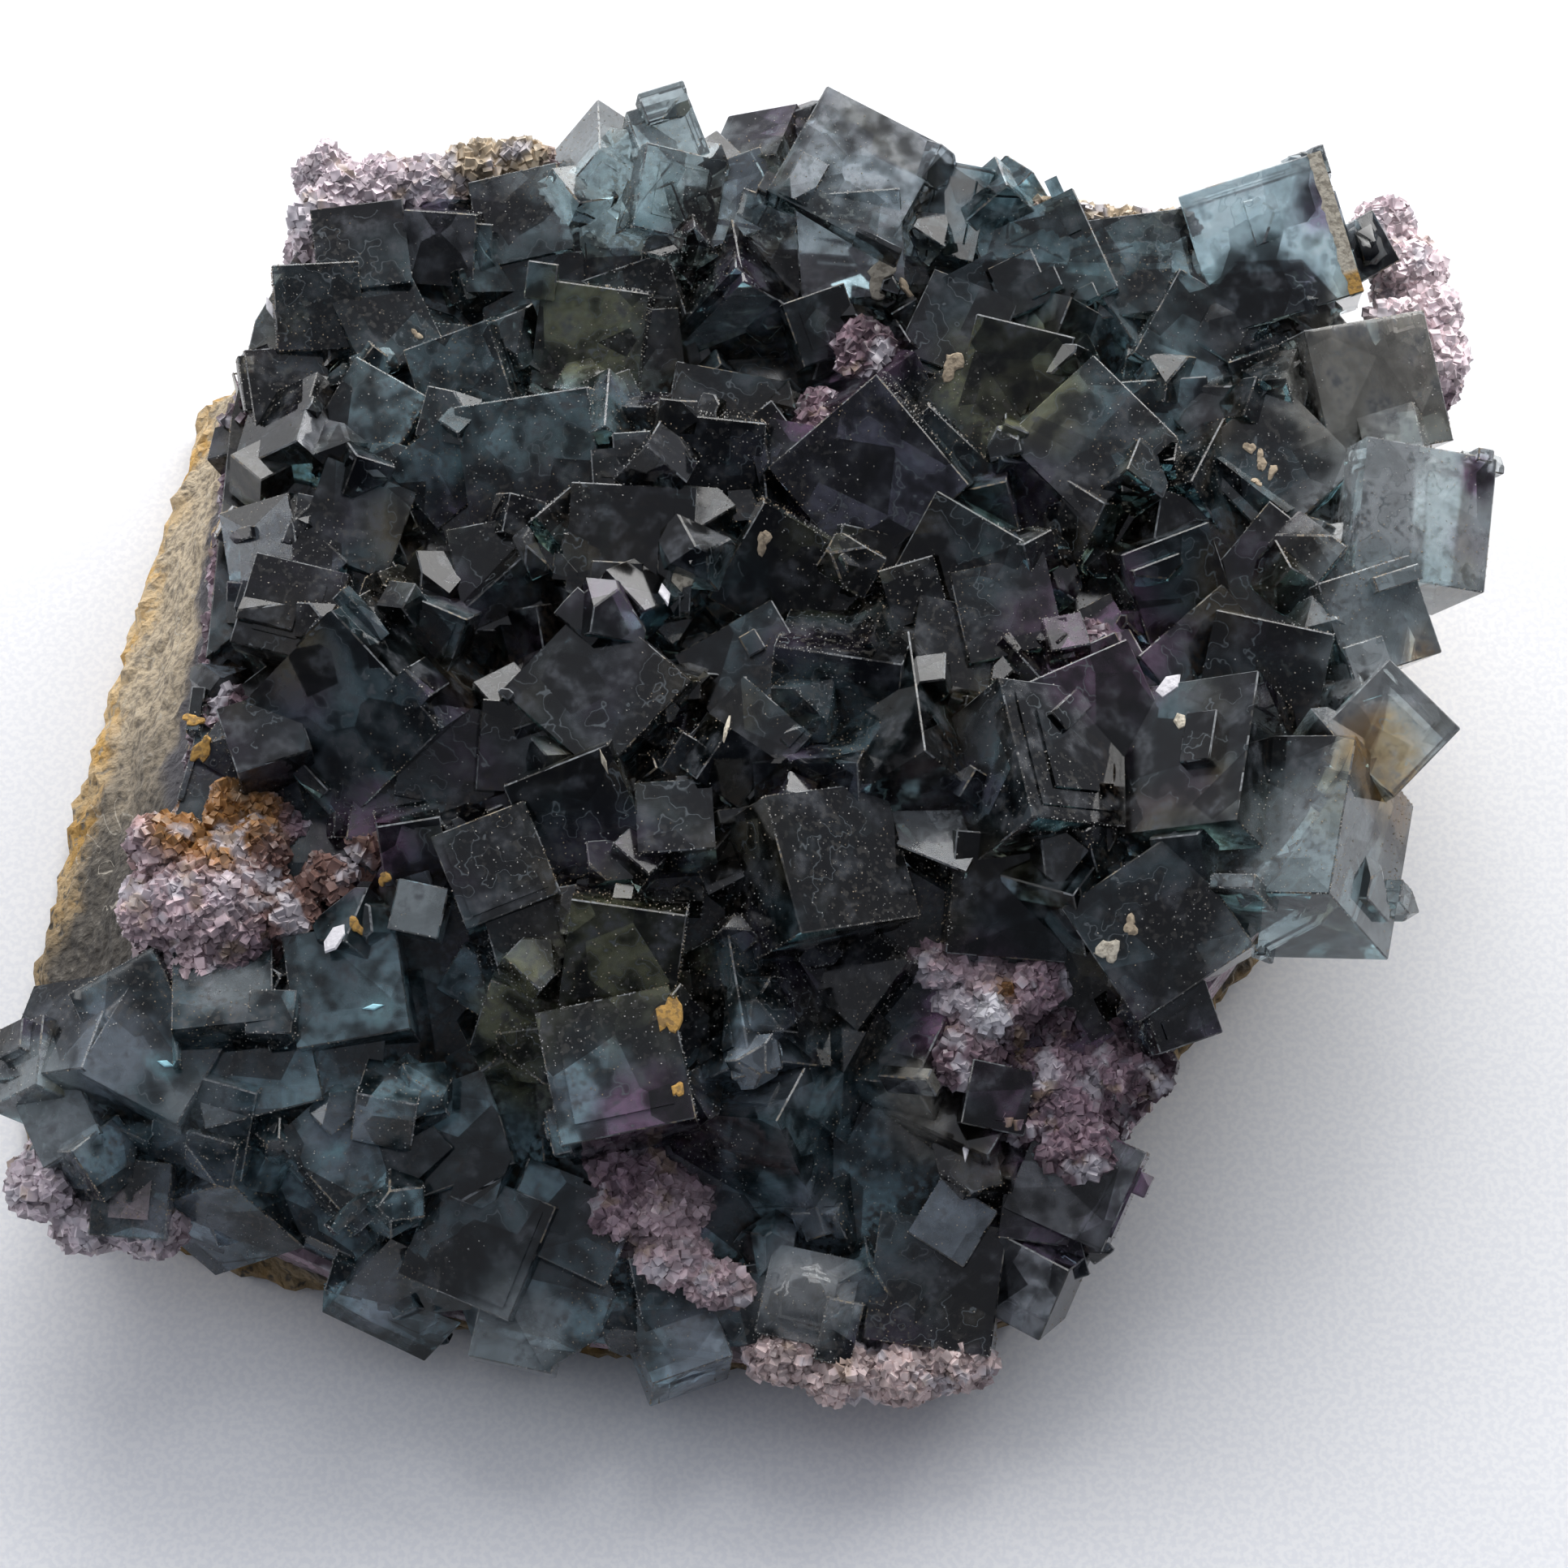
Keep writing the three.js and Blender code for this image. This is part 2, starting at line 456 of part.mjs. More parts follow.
// Whether a lump of the purple layer comes up at a place
function isLump(x, y) {
  return LAYER_LUMPS.some(({ at, radius }) => {
    return Math.hypot(x - at[0], y - at[1]) < LUMP_CROWDING * radius;
  });
}

// Smaller cubes at a slightly uneven spacing over the whole crust
function fillerCubes() {
  const random = randomSource(11);
  const cubes = [];
  const rowSpacing = FILLER_SPACING * Math.cos(30 * DEGREE);
  for (let y = -46; y < 50; y += rowSpacing) {
    for (let x = -58; x < 54; x += FILLER_SPACING) {
      const shift = [random() + 0.2, random() - 0.5];
      const at = [x + FILLER_SPACING * shift[0], y + FILLER_SPACING * shift[1]];
      const size = between(FILLER_SIZE, random());
      const rise = between(FILLER_RISE, random());
      const turn = 90 * random();
      const lean = FILLER_LEAN * random();
      const toward = 360 * random();
      const free = !isLump(...at) && !isTaken(...at);
      if (free && outlineShare(...at) < FILLER_REACH) {
        cubes.push(faceCube({ at, rise, size, turn, lean, toward }));
      }
    }
  }
  return cubes;
}

// Rounded lump of the purple layer, grown by spread: its underside stays inside the layer,
// unless it hangs over the rim by its drop
function lumpGeometry({ at: [x, y], radius, rise, drop = LUMP_ROOT }, spread) {
  const detail = radius < COARSE_LUMP ? 0 : 1;
  const lump = mergeVertices(new THREE.IcosahedronGeometry(1, detail).deleteAttribute("normal"));
  const points = lump.attributes.position;
  for (let i = 0; i < points.count; i += 1) {
    const point = new THREE.Vector3().fromBufferAttribute(points, i);
    const rough = 1 + LUMP_ROUGHNESS * bumps(7 * point.x + x, 7 * point.y + y, 6, point.z);
    const height = point.z > 0 ? rise : drop;
    point.multiplyScalar(rough).multiply(new THREE.Vector3(radius, radius, height));
    point.addScaledVector(point.clone().normalize(), spread);
    points.setXYZ(i, point.x, point.y, point.z);
  }
  return lump.translate(x, y, sheetHeight(LAYER_TOP, y));
}

// Small grains that stand on one lump
function lumpGrains({ at: [x, y], radius, rise }, spread) {
  const random = randomSource(Math.round(100 + 3 * x + 7 * y));
  const grains = [];
  const count = Math.round(GRAINS_PER_LENGTH * radius);
  for (let i = 0; i < count; i += 1) {
    const angle = 2 * Math.PI * random();
    const reach = GRAIN_REACH * Math.sqrt(random());
    const at = [x + reach * radius * Math.cos(angle), y + reach * radius * Math.sin(angle)];
    const size = between(GRAIN_SIZE, random());
    const dome = rise * Math.sqrt(1 - reach * reach);
    const surface = sheetHeight(LAYER_TOP, y) + dome - crystalTop(...at);
    const turn = 90 * random();
    const lean = GRAIN_LEAN * random();
    const toward = 360 * random();
    const grain = { at, rise: surface + GRAIN_STAND * size, size, turn, lean, toward };
    grains.push(faceCube(grain, spread));
  }
  return grains;
}

// The host rock, with a flat underside and a wall that stands out in ledges on the left
function hostRock(spread = 0) {
  const rings = [ring((angle) => outlineRadius(BASE_OUTLINE, angle) - BASE_CHAMFER, () => 0)];
  WALL_ROWS.forEach(({ share, bulge }, row) => {
    const radiusAt = (angle) => {
      const bottom = outlineRadius(BASE_OUTLINE, angle);
      const top = outlineRadius(TOP_OUTLINE, angle);
      const rough = WALL_ROUGHNESS * bumps(60 * angle, 9 * row, 17, row);
      return bottom + (top - bottom) * share + bulge + rough + spread;
    };
    rings.push(ring(radiusAt, (x, y) => share * sheetHeight(ROCK_TOP, y)));
  });
  const overTop = ROCK_TOP[0] + 1;
  rings.push(ring((angle) => outlineRadius(TOP_OUTLINE, angle) + spread, () => overTop));
  const body = ringedBody(0, rings, overTop);
  return solidOf(body).intersect(underSheet(raised(ROCK_TOP, spread)));
}

function layerLumps(spread = 0) {
  return LAYER_LUMPS.flatMap((lump) => [lumpGeometry(lump, spread), ...lumpGrains(lump, spread)]);
}

// The granular purple layer with the lumps that come up between the crystals
function purpleLayer() {
  const even = sheetBody(LAYER_UNDERSIDE, LAYER_TOP, 0);
  return join([even, ...layerLumps().map(solidOf)]).subtract(hostRock(CONTACT_GAP));
}

// The crust of cubes and their bed
function crystalCrust() {
  const cubes = [
    ...FACE_CRYSTALS.map((crystal) => faceCube(crystal)),
    ...CORNER_CRYSTALS.map((crystal) => cornerCube(crystal)),
    ...fillerCubes(),
  ];
  const support = outlineBlock(RIM_CLEARANCE).intersect(underSheet(CUBE_ENDS));
  const bed = sheetBody(BED_UNDERSIDE, BED_TOP, -CONTACT_GAP);
  const ground = new THREE.BoxGeometry(WIDE, WIDE, WIDE).translate(0, 0, LOWEST_CRYSTAL - WIDE / 2);
  const obstacles = [hostRock(CONTACT_GAP), ...[ground, ...layerLumps(CONTACT_GAP)].map(solidOf)];
  const grown = join(cubes.map(solidOf)).subtract(support).add(bed);
  return obstacles.reduce((rest, obstacle) => rest.subtract(obstacle), grown);
}

function rockMaterial() {
  return new THREE.MeshStandardMaterial({ color: 0x8a8072, roughness: 0.92, metalness: 0 });
}

function layerMaterial() {
  return new THREE.MeshStandardMaterial({ color: 0x6d6068, roughness: 0.6, metalness: 0 });
}

function crystalMaterial() {
  return new THREE.MeshStandardMaterial({
    color: 0x3b4a50,
    roughness: 0.14,
    metalness: 0,
    transparent: true,
    opacity: 0.85,
  });
}

// The largest body of a solid as a mesh: crumbs that a cut leaves loose are dropped
function namedMesh(name, solid, material) {
  const mesh = new THREE.Mesh(geometryOf(largestBody(solid)), material);
  mesh.name = name;
  return mesh;
}

const specimen = new THREE.Group();
specimen.name = "fluorite_specimen";
specimen.add(namedMesh("matrix_rock", hostRock(), rockMaterial()));
specimen.add(namedMesh("purple_layer", purpleLayer(), layerMaterial()));
specimen.add(namedMesh("fluorite_crystals", crystalCrust(), crystalMaterial()));

export default specimen;
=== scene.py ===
"""Looks of a fluorite specimen: host rock, purple layer, crystal crust, druse, clay film and the studio."""

import json
import logging
import math
import random
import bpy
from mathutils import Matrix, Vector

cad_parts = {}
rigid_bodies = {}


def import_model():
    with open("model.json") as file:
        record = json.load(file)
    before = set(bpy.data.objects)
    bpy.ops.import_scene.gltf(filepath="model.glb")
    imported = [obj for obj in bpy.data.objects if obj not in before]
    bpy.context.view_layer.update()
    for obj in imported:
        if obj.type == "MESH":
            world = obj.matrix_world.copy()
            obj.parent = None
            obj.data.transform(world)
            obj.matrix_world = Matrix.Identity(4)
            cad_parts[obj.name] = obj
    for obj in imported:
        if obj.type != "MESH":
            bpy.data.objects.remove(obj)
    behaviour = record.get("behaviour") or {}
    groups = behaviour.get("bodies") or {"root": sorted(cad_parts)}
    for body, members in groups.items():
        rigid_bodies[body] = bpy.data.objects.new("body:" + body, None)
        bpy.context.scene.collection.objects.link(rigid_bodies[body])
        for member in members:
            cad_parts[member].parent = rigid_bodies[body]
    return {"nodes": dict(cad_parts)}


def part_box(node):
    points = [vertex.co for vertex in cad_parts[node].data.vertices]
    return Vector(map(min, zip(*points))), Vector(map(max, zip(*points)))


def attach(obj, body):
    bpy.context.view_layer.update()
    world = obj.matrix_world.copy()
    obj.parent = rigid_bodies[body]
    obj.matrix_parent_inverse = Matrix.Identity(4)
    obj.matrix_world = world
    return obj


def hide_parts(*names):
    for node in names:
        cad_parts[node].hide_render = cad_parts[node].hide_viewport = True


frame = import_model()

import zlib
from collections.abc import Callable, Iterable, Sequence
from dataclasses import dataclass, field
from enum import Enum
from itertools import combinations

import bmesh
import bpy
import numpy as np
from mathutils import Matrix, Vector, noise
from mathutils.bvhtree import BVHTree

MM = 0.001
ROOT = "root"
UP = Vector((0.0, 0.0, 1.0))
MERGE = 1e-6
PARTING = 0.1
SKIN = 2e-5
PATCH_FADE = 0.3
PATCH_STIR = 0.35
SHELTER_SEED = 3
DRIFT_SIZE = 6.0
DRIFT_APART = 31.0

Colour = tuple[float, float, float]
Socket = bpy.types.NodeSocket
Value = Socket | float | tuple
log = logging.getLogger("specimen")


# How node trees are put together


class NodeSheet:
    """A node tree and short ways to add to it."""

    def __init__(self, tree: bpy.types.NodeTree) -> None:
        """Start on an empty tree.

        Args:
            tree: the tree.
        """
        self.tree = tree
        self.tree.nodes.clear()

    def add(self, kind: str, **settings: object) -> bpy.types.Node:
        """Add a node.

        Args:
            kind: the node's type name.
            settings: properties to set on it.

        Returns:
            The new node.
        """
        node = self.tree.nodes.new(kind)
        for key, value in settings.items():
            setattr(node, key, value)
        return node

    def feed(self, target: Socket, value: Value) -> None:
        """Link a socket to an input, or set a plain value on it.

        Args:
            target: the input socket.
            value: an output socket, a number, a vector or a colour.
        """
        if isinstance(value, bpy.types.NodeSocket):
            self.tree.links.new(value, target)
        elif isinstance(value, tuple) and len(value) != len(target.default_value):
            target.default_value = (*value, 1.0)
        else:
            target.default_value = value

    def math(self, operation: str, first: Value, second: Value = 0.0, third: float = 0.5) -> Socket:
        """Combine numbers.

        Args:
            operation: the Math operation.
            first: the first number.
            second: the second number.
            third: the third number, which only MULTIPLY_ADD reads.

        Returns:
            The result.
        """
        node = self.add("ShaderNodeMath", operation=operation, use_clamp=False)
        for socket, value in zip(node.inputs, (first, second, third)):
            self.feed(socket, value)
        return node.outputs[0]


class ShaderTree(NodeSheet):
    """A material with one Principled shader, and the patterns that feed it."""

    def __init__(self, name: str) -> None:
        """Start the material.

        Args:
            name: the material's name.
        """
        self.material = bpy.data.materials.new(name)
        self.material.use_nodes = True
        super().__init__(self.material.node_tree)
        self.output = self.add("ShaderNodeOutputMaterial")
        self.shader = self.add("ShaderNodeBsdfPrincipled")
        self.tree.links.new(self.shader.outputs["BSDF"], self.output.inputs["Surface"])
        self.where = self.add("ShaderNodeTexCoord").outputs["Object"]

    def set(self, name: str, value: Value) -> None:
        """Feed the Principled shader's input of that name."""
        self.feed(self.shader.inputs[name], value)

    def place(self, axis: str) -> Socket:
        """Return where a point lies along X, Y or Z, in metres."""
        split = self.add("ShaderNodeSeparateXYZ")
        self.feed(split.inputs[0], self.where)
        return split.outputs[axis]

    def grain(self, size_mm: float, detail: float = 3.0, distortion: float = 0.0) -> Socket:
        """Add a noise pattern.

        Args:
            size_mm: the size of its largest spots.
            detail: how many finer octaves it has.
            distortion: how far it is stirred.

        Returns:
            Its value, mostly 0.3 to 0.7.
        """
        node = self.add("ShaderNodeTexNoise")
        self.feed(node.inputs["Vector"], self.where)
        node.inputs["Scale"].default_value = 1.0 / (size_mm * MM)
        node.inputs["Detail"].default_value = detail
        node.inputs["Distortion"].default_value = distortion
        return node.outputs[0]

    def cells(self, size_mm: float, feature: str = "F1", output: str = "Distance") -> Socket:
        """Add a pattern of cells.

        Args:
            size_mm: the cells' size.
            feature: F1 or DISTANCE_TO_EDGE.
            output: Distance or Color.

        Returns:
            The distance, or each cell's own random colour.
        """
        node = self.add("ShaderNodeTexVoronoi", feature=feature)
        self.feed(node.inputs["Vector"], self.where)
        node.inputs["Scale"].default_value = 1.0 / (size_mm * MM)
        return node.outputs[output]

    def span(self, value: Value, low: float, high: float, start: float = 0.0, end: float = 1.0) -> Socket:
        """Map a number smoothly from one range to another, clamped.

        Args:
            value: the number.
            low: where the range starts; it may lie above high.
            high: where the range ends.
            start: the result at low.
            end: the result at high.

        Returns:
            The mapped number.
        """
        node = self.add("ShaderNodeMapRange", interpolation_type="SMOOTHSTEP", clamp=True)
        flipped = low > high
        numbers = (high, low, end, start) if flipped else (low, high, start, end)
        for index, number in enumerate(numbers, start=1):
            node.inputs[index].default_value = number
        self.feed(node.inputs[0], value)
        return node.outputs[0]

    def mix(self, mask: Value, first: Value, second: Value) -> Socket:
        """Blend two colours.

        Args:
            mask: 0 for the first colour, 1 for the second.
            first: the first colour.
            second: the second colour.

        Returns:
            The blended colour.
        """
        node = self.add("ShaderNodeMix", data_type="RGBA", clamp_factor=True)
        self.feed(node.inputs[0], mask)
        self.feed(node.inputs[6], first)
        self.feed(node.inputs[7], second)
        return node.outputs[2]

    def own(self, attribute: str, output: str = "Fac") -> Socket:
        """Return a number or a colour that the mesh itself carries."""
        return self.add("ShaderNodeAttribute", attribute_name=attribute).outputs[output]

    def grey(self, value: Socket) -> Socket:
        """Return a colour's brightness."""
        node = self.add("ShaderNodeRGBToBW")
        self.feed(node.inputs[0], value)
        return node.outputs[0]

    def times(self, colour: Socket, number: Socket) -> Socket:
        """Return a colour made lighter or darker by a number."""
        node = self.add("ShaderNodeVectorMath", operation="SCALE")
        self.feed(node.inputs[0], colour)
        self.feed(node.inputs[3], number)
        return node.outputs[0]

    def relief(self, height: Socket, depth_mm: float, strength: float) -> None:
        """Feed the shader's normal from a height pattern.

        Args:
            height: the pattern.
            depth_mm: how deep one unit of it is.
            strength: from 0 to 1.
        """
        node = self.add("ShaderNodeBump")
        node.inputs["Strength"].default_value = strength
        node.inputs["Distance"].default_value = depth_mm * MM
        self.feed(node.inputs["Height"], height)
        self.set("Normal", node.outputs[0])


# Patches of colour


class Tone(Enum):
    """Body colours of the crystals."""

    CLEAR = (0.84, 0.88, 0.89)
    SKY = (0.74, 0.83, 0.88)
    PALE = (0.58, 0.66, 0.68)
    GREY = (0.30, 0.31, 0.33)
    STEEL = (0.44, 0.52, 0.60)
    LAVENDER = (0.17, 0.17, 0.23)
    FAWN = (0.68, 0.65, 0.57)
    # CYAN paints bright cyan glints of reflected light: painted highlights.
    CYAN = (0.50, 0.90, 0.98)
    TEAL = (0.17, 0.25, 0.27)
    BLUE = (0.185, 0.285, 0.32)
    OLIVE = (0.17, 0.175, 0.10)
    PURPLE = (0.17, 0.10, 0.165)
    PINK = (0.55, 0.42, 0.44)
    BLUSH = (0.88, 0.74, 0.76)
    MAUVE = (0.62, 0.53, 0.56)
    ROSE = (0.62, 0.49, 0.465)
    RUSSET = (0.20, 0.115, 0.095)
    SMOKE = (0.02, 0.025, 0.03)
    ORANGE = (0.80, 0.50, 0.22)
    BROWN = (0.34, 0.17, 0.06)
    # WHITE also paints glints of reflected light on the shards and marks that use it.
    WHITE = (0.72, 0.70, 0.72)
    TAN = (0.46, 0.37, 0.26)
    OCHRE = (0.52, 0.30, 0.08)
    CREAM = (0.55, 0.50, 0.40)


@dataclass(frozen=True)
class Patch:
    """A round patch of colour seen from above, in millimetres."""

    x: float
    y: float
    radius: float
    tone: Tone


CRYSTAL_PATCHES = (
    Patch(-22, 30, 11, Tone.TEAL),
    Patch(1, -30, 8, Tone.BLUE),
    Patch(24, 33, 9, Tone.TEAL),
    Patch(-34, -30, 17, Tone.BLUE),
    Patch(-12, -36, 11, Tone.BLUE),
    Patch(-47, -23.3, 3.4, Tone.STEEL),
    Patch(-52.5, -26.8, 4.2, Tone.PALE),
    Patch(-40.3, -27.2, 2.3, Tone.PALE),
    Patch(-41.6, -32, 3.0, Tone.STEEL),
    Patch(-28.8, -36, 1.8, Tone.STEEL),
    Patch(-19, -40, 3.6, Tone.PALE),
    Patch(-6, -40.6, 2.6, Tone.STEEL),
    Patch(-30.8, -28.5, 2.2, Tone.STEEL),
    # The next three patches lighten facets that show lighter highlights: partly their own tone, partly painted
    # highlights.
    Patch(9.7, -25.6, 2.2, Tone.FAWN),
    Patch(-1.2, -25.0, 2.6, Tone.STEEL),
    Patch(1.9, -32.6, 2.2, Tone.STEEL),
    Patch(1.9, -37.5, 3.2, Tone.CLEAR),
    Patch(-13, 50, 8, Tone.PALE),
    Patch(8, 47, 7, Tone.GREY),
    Patch(20, 44, 7, Tone.BLUE),
    Patch(44, 27.5, 7, Tone.FAWN),
    Patch(46.5, 16.2, 7.5, Tone.CLEAR),
    Patch(44, 7, 6, Tone.PALE),
    Patch(45.8, 4.8, 1.4, Tone.ORANGE),
    Patch(42.6, -1.4, 5.5, Tone.CLEAR),
    Patch(41.6, -4.4, 3.2, Tone.ORANGE),
    Patch(37.5, -14, 7.5, Tone.PALE),
    Patch(36.3, 42.5, 6.5, Tone.SKY),
    Patch(36.2, 34.4, 4.0, Tone.SMOKE),
    Patch(39.8, 40.2, 2.0, Tone.PURPLE),
    Patch(50, 18.4, 1.5, Tone.PURPLE),
    Patch(49.4, 13.8, 1.5, Tone.WHITE),
    Patch(-14.5, 31.5, 4.5, Tone.OLIVE),
    Patch(-11, -17.8, 5, Tone.OLIVE),
    Patch(17, 28, 5.5, Tone.OLIVE),
    Patch(-18.5, -21.8, 3.5, Tone.OLIVE),
    Patch(3, 11.5, 3.4, Tone.OLIVE),
    Patch(-9, -30, 4.5, Tone.PURPLE),
    Patch(14, -20, 4.5, Tone.PURPLE),
    Patch(21, -27, 6, Tone.PURPLE),
    Patch(2.5, 24, 3.5, Tone.PURPLE),
    Patch(6, 30, 3.0, Tone.PURPLE),
    Patch(22, 6, 6, Tone.PURPLE),
    Patch(-29.5, -9.5, 3.5, Tone.PURPLE),
    Patch(-38.5, -19, 2.6, Tone.PALE),
    # These three small patches paint cyan glints of reflected light: painted highlights.
    Patch(-42.8, -24.4, 0.9, Tone.CYAN),
    Patch(-28.4, -20.9, 0.8, Tone.CYAN),
    Patch(-31.3, -29.6, 0.7, Tone.CYAN),
)


@dataclass(frozen=True)
class Mark:
    """The tone of the one facet under a place seen from above, in millimetres."""

    x: float
    y: float
    tone: Tone


# Several marks, the white and clear ones among them, paint the brightness of facets that reflect the light: painted
# reflections; the others give a facet its own colour.
MARKS = (
    Mark(2.1, 42.8, Tone.WHITE),
    Mark(1.2, 40.6, Tone.WHITE),
    Mark(6.1, 19.5, Tone.LAVENDER),
    Mark(-35.3, 21.3, Tone.GREY),
    Mark(-25.7, 39.1, Tone.GREY),
    Mark(17.0, -37.2, Tone.GREY),
    Mark(-37.5, 13.7, Tone.STEEL),
    Mark(-25.3, -14.8, Tone.PALE),
    Mark(-41.2, 5.8, Tone.STEEL),
    Mark(-13.0, 21.9, Tone.GREY),
    Mark(-3.1, 34.4, Tone.PALE),
    Mark(22.9, -30.4, Tone.GREY),
    Mark(11.3, -32.8, Tone.STEEL),
    Mark(9.6, -25.6, Tone.GREY),
    Mark(10.5, -6.8, Tone.CLEAR),
    Mark(19.6, -14.0, Tone.FAWN),
    Mark(40.4, -12.3, Tone.GREY),
    Mark(-41.3, -27.5, Tone.STEEL),
    Mark(-45.1, -32.1, Tone.BLUSH),
    Mark(-4.4, 44.1, Tone.STEEL),
    Mark(-12.7, 45.4, Tone.CLEAR),
)


# Finishes


@dataclass(frozen=True)
class CrystalFinish:
    """Clear dark blue-green crystal with dust on its faces and along its edges, soil and painted shade in its nooks,
    and painted glints.
    """

    name: str = "fluorite_clear"
    see_through: float = 0.80
    index: float = 1.434
    grounds: tuple[Colour, ...] = (
        (0.016, 0.020, 0.023),
        (0.062, 0.096, 0.108),
        (0.084, 0.070, 0.040),
        (0.080, 0.058, 0.094),
    )
    haze: Colour = (0.27, 0.29, 0.32)
    dust: Colour = (0.34, 0.32, 0.28)
    # soil darkens sheltered nooks: real soil, and painted shade where shade falls.
    soil: Colour = (0.07, 0.05, 0.035)
    # glint: the pale colour of cracks that catch the light, a painted highlight.
    glint: Colour = (0.46, 0.52, 0.55)
    domain: float = 4.2
    crack: float = 0.012
    absorbs: Colour = (0.46, 0.60, 0.625)
    density: float = 165.0
    patches: tuple[Patch, ...] = CRYSTAL_PATCHES
    marks: tuple[Mark, ...] = MARKS

    def material(self) -> bpy.types.Material:
        """Make the material.

        Returns:
            The material, whose clearness, index and absorption are plain values.
        """
        tree = ShaderTree(self.name)
        facet = tree.own("facet")
        mottle = tree.grain(2.2, 2.0)
        domain = tree.grey(tree.cells(self.domain, output="Color"))
        # Marked facets take the mark's tone, for several of them a painted reflection.
        tone = tree.mix(tree.own("mark", "Alpha"), tree.own("tone", "Color"), tree.own("mark", "Color"))
        swing = tree.span(tree.grey(tone), 0.25, 0.60, 1.0, 0.30)
        by_facet = tree.math("MULTIPLY_ADD", swing, tree.span(facet, 0.0, 1.0, -0.6, 0.6), 1.0)
        by_mottle = tree.math("MULTIPLY_ADD", swing, tree.span(mottle, 0.34, 0.66, -0.8, 0.9), 1.0)
        by_domain = tree.math("MULTIPLY_ADD", swing, tree.span(domain, 0.22, 0.78, -0.8, 0.9), 1.0)
        shade = tree.math("MULTIPLY", by_domain, tree.math("MULTIPLY", by_facet, by_mottle))
        colour = tree.times(tone, shade)
        fine = tree.grain(0.5, 1.0)
        cloud = tree.span(mottle, 0.50, 0.68)
        smear = tree.math("MULTIPLY", cloud, tree.span(fine, 0.30, 0.70, 0.25, 0.85))
        colour = tree.mix(smear, colour, self.haze)
        # Thin crack lines in the glint colour: real cracks, with the light reflected from their veils painted in as
        # highlights.
        crack = tree.span(tree.math("ABSOLUTE", tree.math("SUBTRACT", mottle, 0.47)), self.crack, 0.0)
        crack = tree.math("MULTIPLY", crack, tree.span(domain, 0.48, 0.60, 0.0, 0.8))
        colour = tree.mix(crack, colour, self.glint)
        # Dark soil in the sheltered nooks, which also paints the shade that falls there: painted shade.
        soil = tree.math("MULTIPLY", tree.own("nook"), tree.span(fine, 0.40, 0.62))
        colour = tree.mix(soil, colour, self.soil)
        film = tree.math("MULTIPLY", tree.span(fine, 0.54, 0.68, 0.0, 0.45), tree.own("dusty"))
        edge = tree.math("MULTIPLY", tree.own("edge"), tree.span(fine, 0.42, 0.60, 0.0, 0.6))
        dust = tree.math("MAXIMUM", film, edge)
        tree.set("Base Color", tree.mix(dust, colour, self.dust))
        matt = tree.span(facet, 0.55, 1.0, 0.03, 0.20)
        tree.set("Roughness", tree.math("ADD", matt, tree.math("MULTIPLY", cloud, 0.12)))
        tree.set("Transmission Weight", self.see_through)
        tree.set("IOR", self.index)
        inside = tree.add("ShaderNodeVolumeAbsorption")
        inside.inputs["Color"].default_value = (*self.absorbs, 1.0)
        inside.inputs["Density"].default_value = self.density
        tree.tree.links.new(inside.outputs[0], tree.output.inputs["Volume"])
        return tree.material


DRUSE_PATCHES = (
    Patch(-43, -14, 6, Tone.PINK),
    Patch(-40.4, -7.4, 4.9, Tone.BROWN),
    Patch(-38.3, -13.6, 1.6, Tone.MAUVE),
    Patch(-33.4, -12.6, 4.2, Tone.RUSSET),
    Patch(-28.5, -8.5, 4.0, Tone.RUSSET),
    Patch(13, -18, 3.8, Tone.PINK),
    Patch(14.4, -20.0, 1.4, Tone.WHITE),
    Patch(15.5, -18.3, 0.9, Tone.BROWN),
    Patch(-49, -31, 7, Tone.MAUVE),
    Patch(-7, -35, 4.5, Tone.PINK),
    Patch(6, -42, 9, Tone.ROSE),
    Patch(-33, 46, 9, Tone.MAUVE),
    Patch(-22, 49, 4, Tone.TAN),
    Patch(49, 39, 8, Tone.BLUSH),
    Patch(25, 42, 7, Tone.TAN),
)


@dataclass(frozen=True)
class DruseFinish:
    """Granular purple to white fluorite, glistening, with tan and brown stains."""

    name: str = "fluorite_druse"
    deep: Colour = (0.095, 0.062, 0.074)
    purple: Colour = (0.31, 0.215, 0.25)
    pale: Colour = (0.56, 0.53, 0.56)
    stain: Colour = (0.36, 0.26, 0.17)
    patches: tuple[Patch, ...] = DRUSE_PATCHES

    def material(self) -> bpy.types.Material:
        """Make the material.

        Returns:
            The material.
        """
        tree = ShaderTree(self.name)
        grain = tree.grey(tree.cells(0.8, output="Color"))
        colour = tree.times(tree.own("tone", "Color"), tree.span(grain, 0.15, 0.85, 0.55, 1.25))
        colour = tree.mix(tree.span(tree.grain(2.8, 2.0), 0.54, 0.66, 0.0, 0.75), colour, self.pale)
        clay = tree.span(tree.grain(2.5, 2.0), 0.58, 0.70, 0.0, 0.6)
        tree.set("Base Color", tree.mix(clay, colour, self.stain))
        tree.set("Roughness", tree.span(tree.grain(0.8, 2.0), 0.35, 0.65, 0.14, 0.55))
        tree.set("IOR", 1.434)
        tree.relief(tree.grain(0.8, 0.0), 0.4, 0.7)
        return tree.material


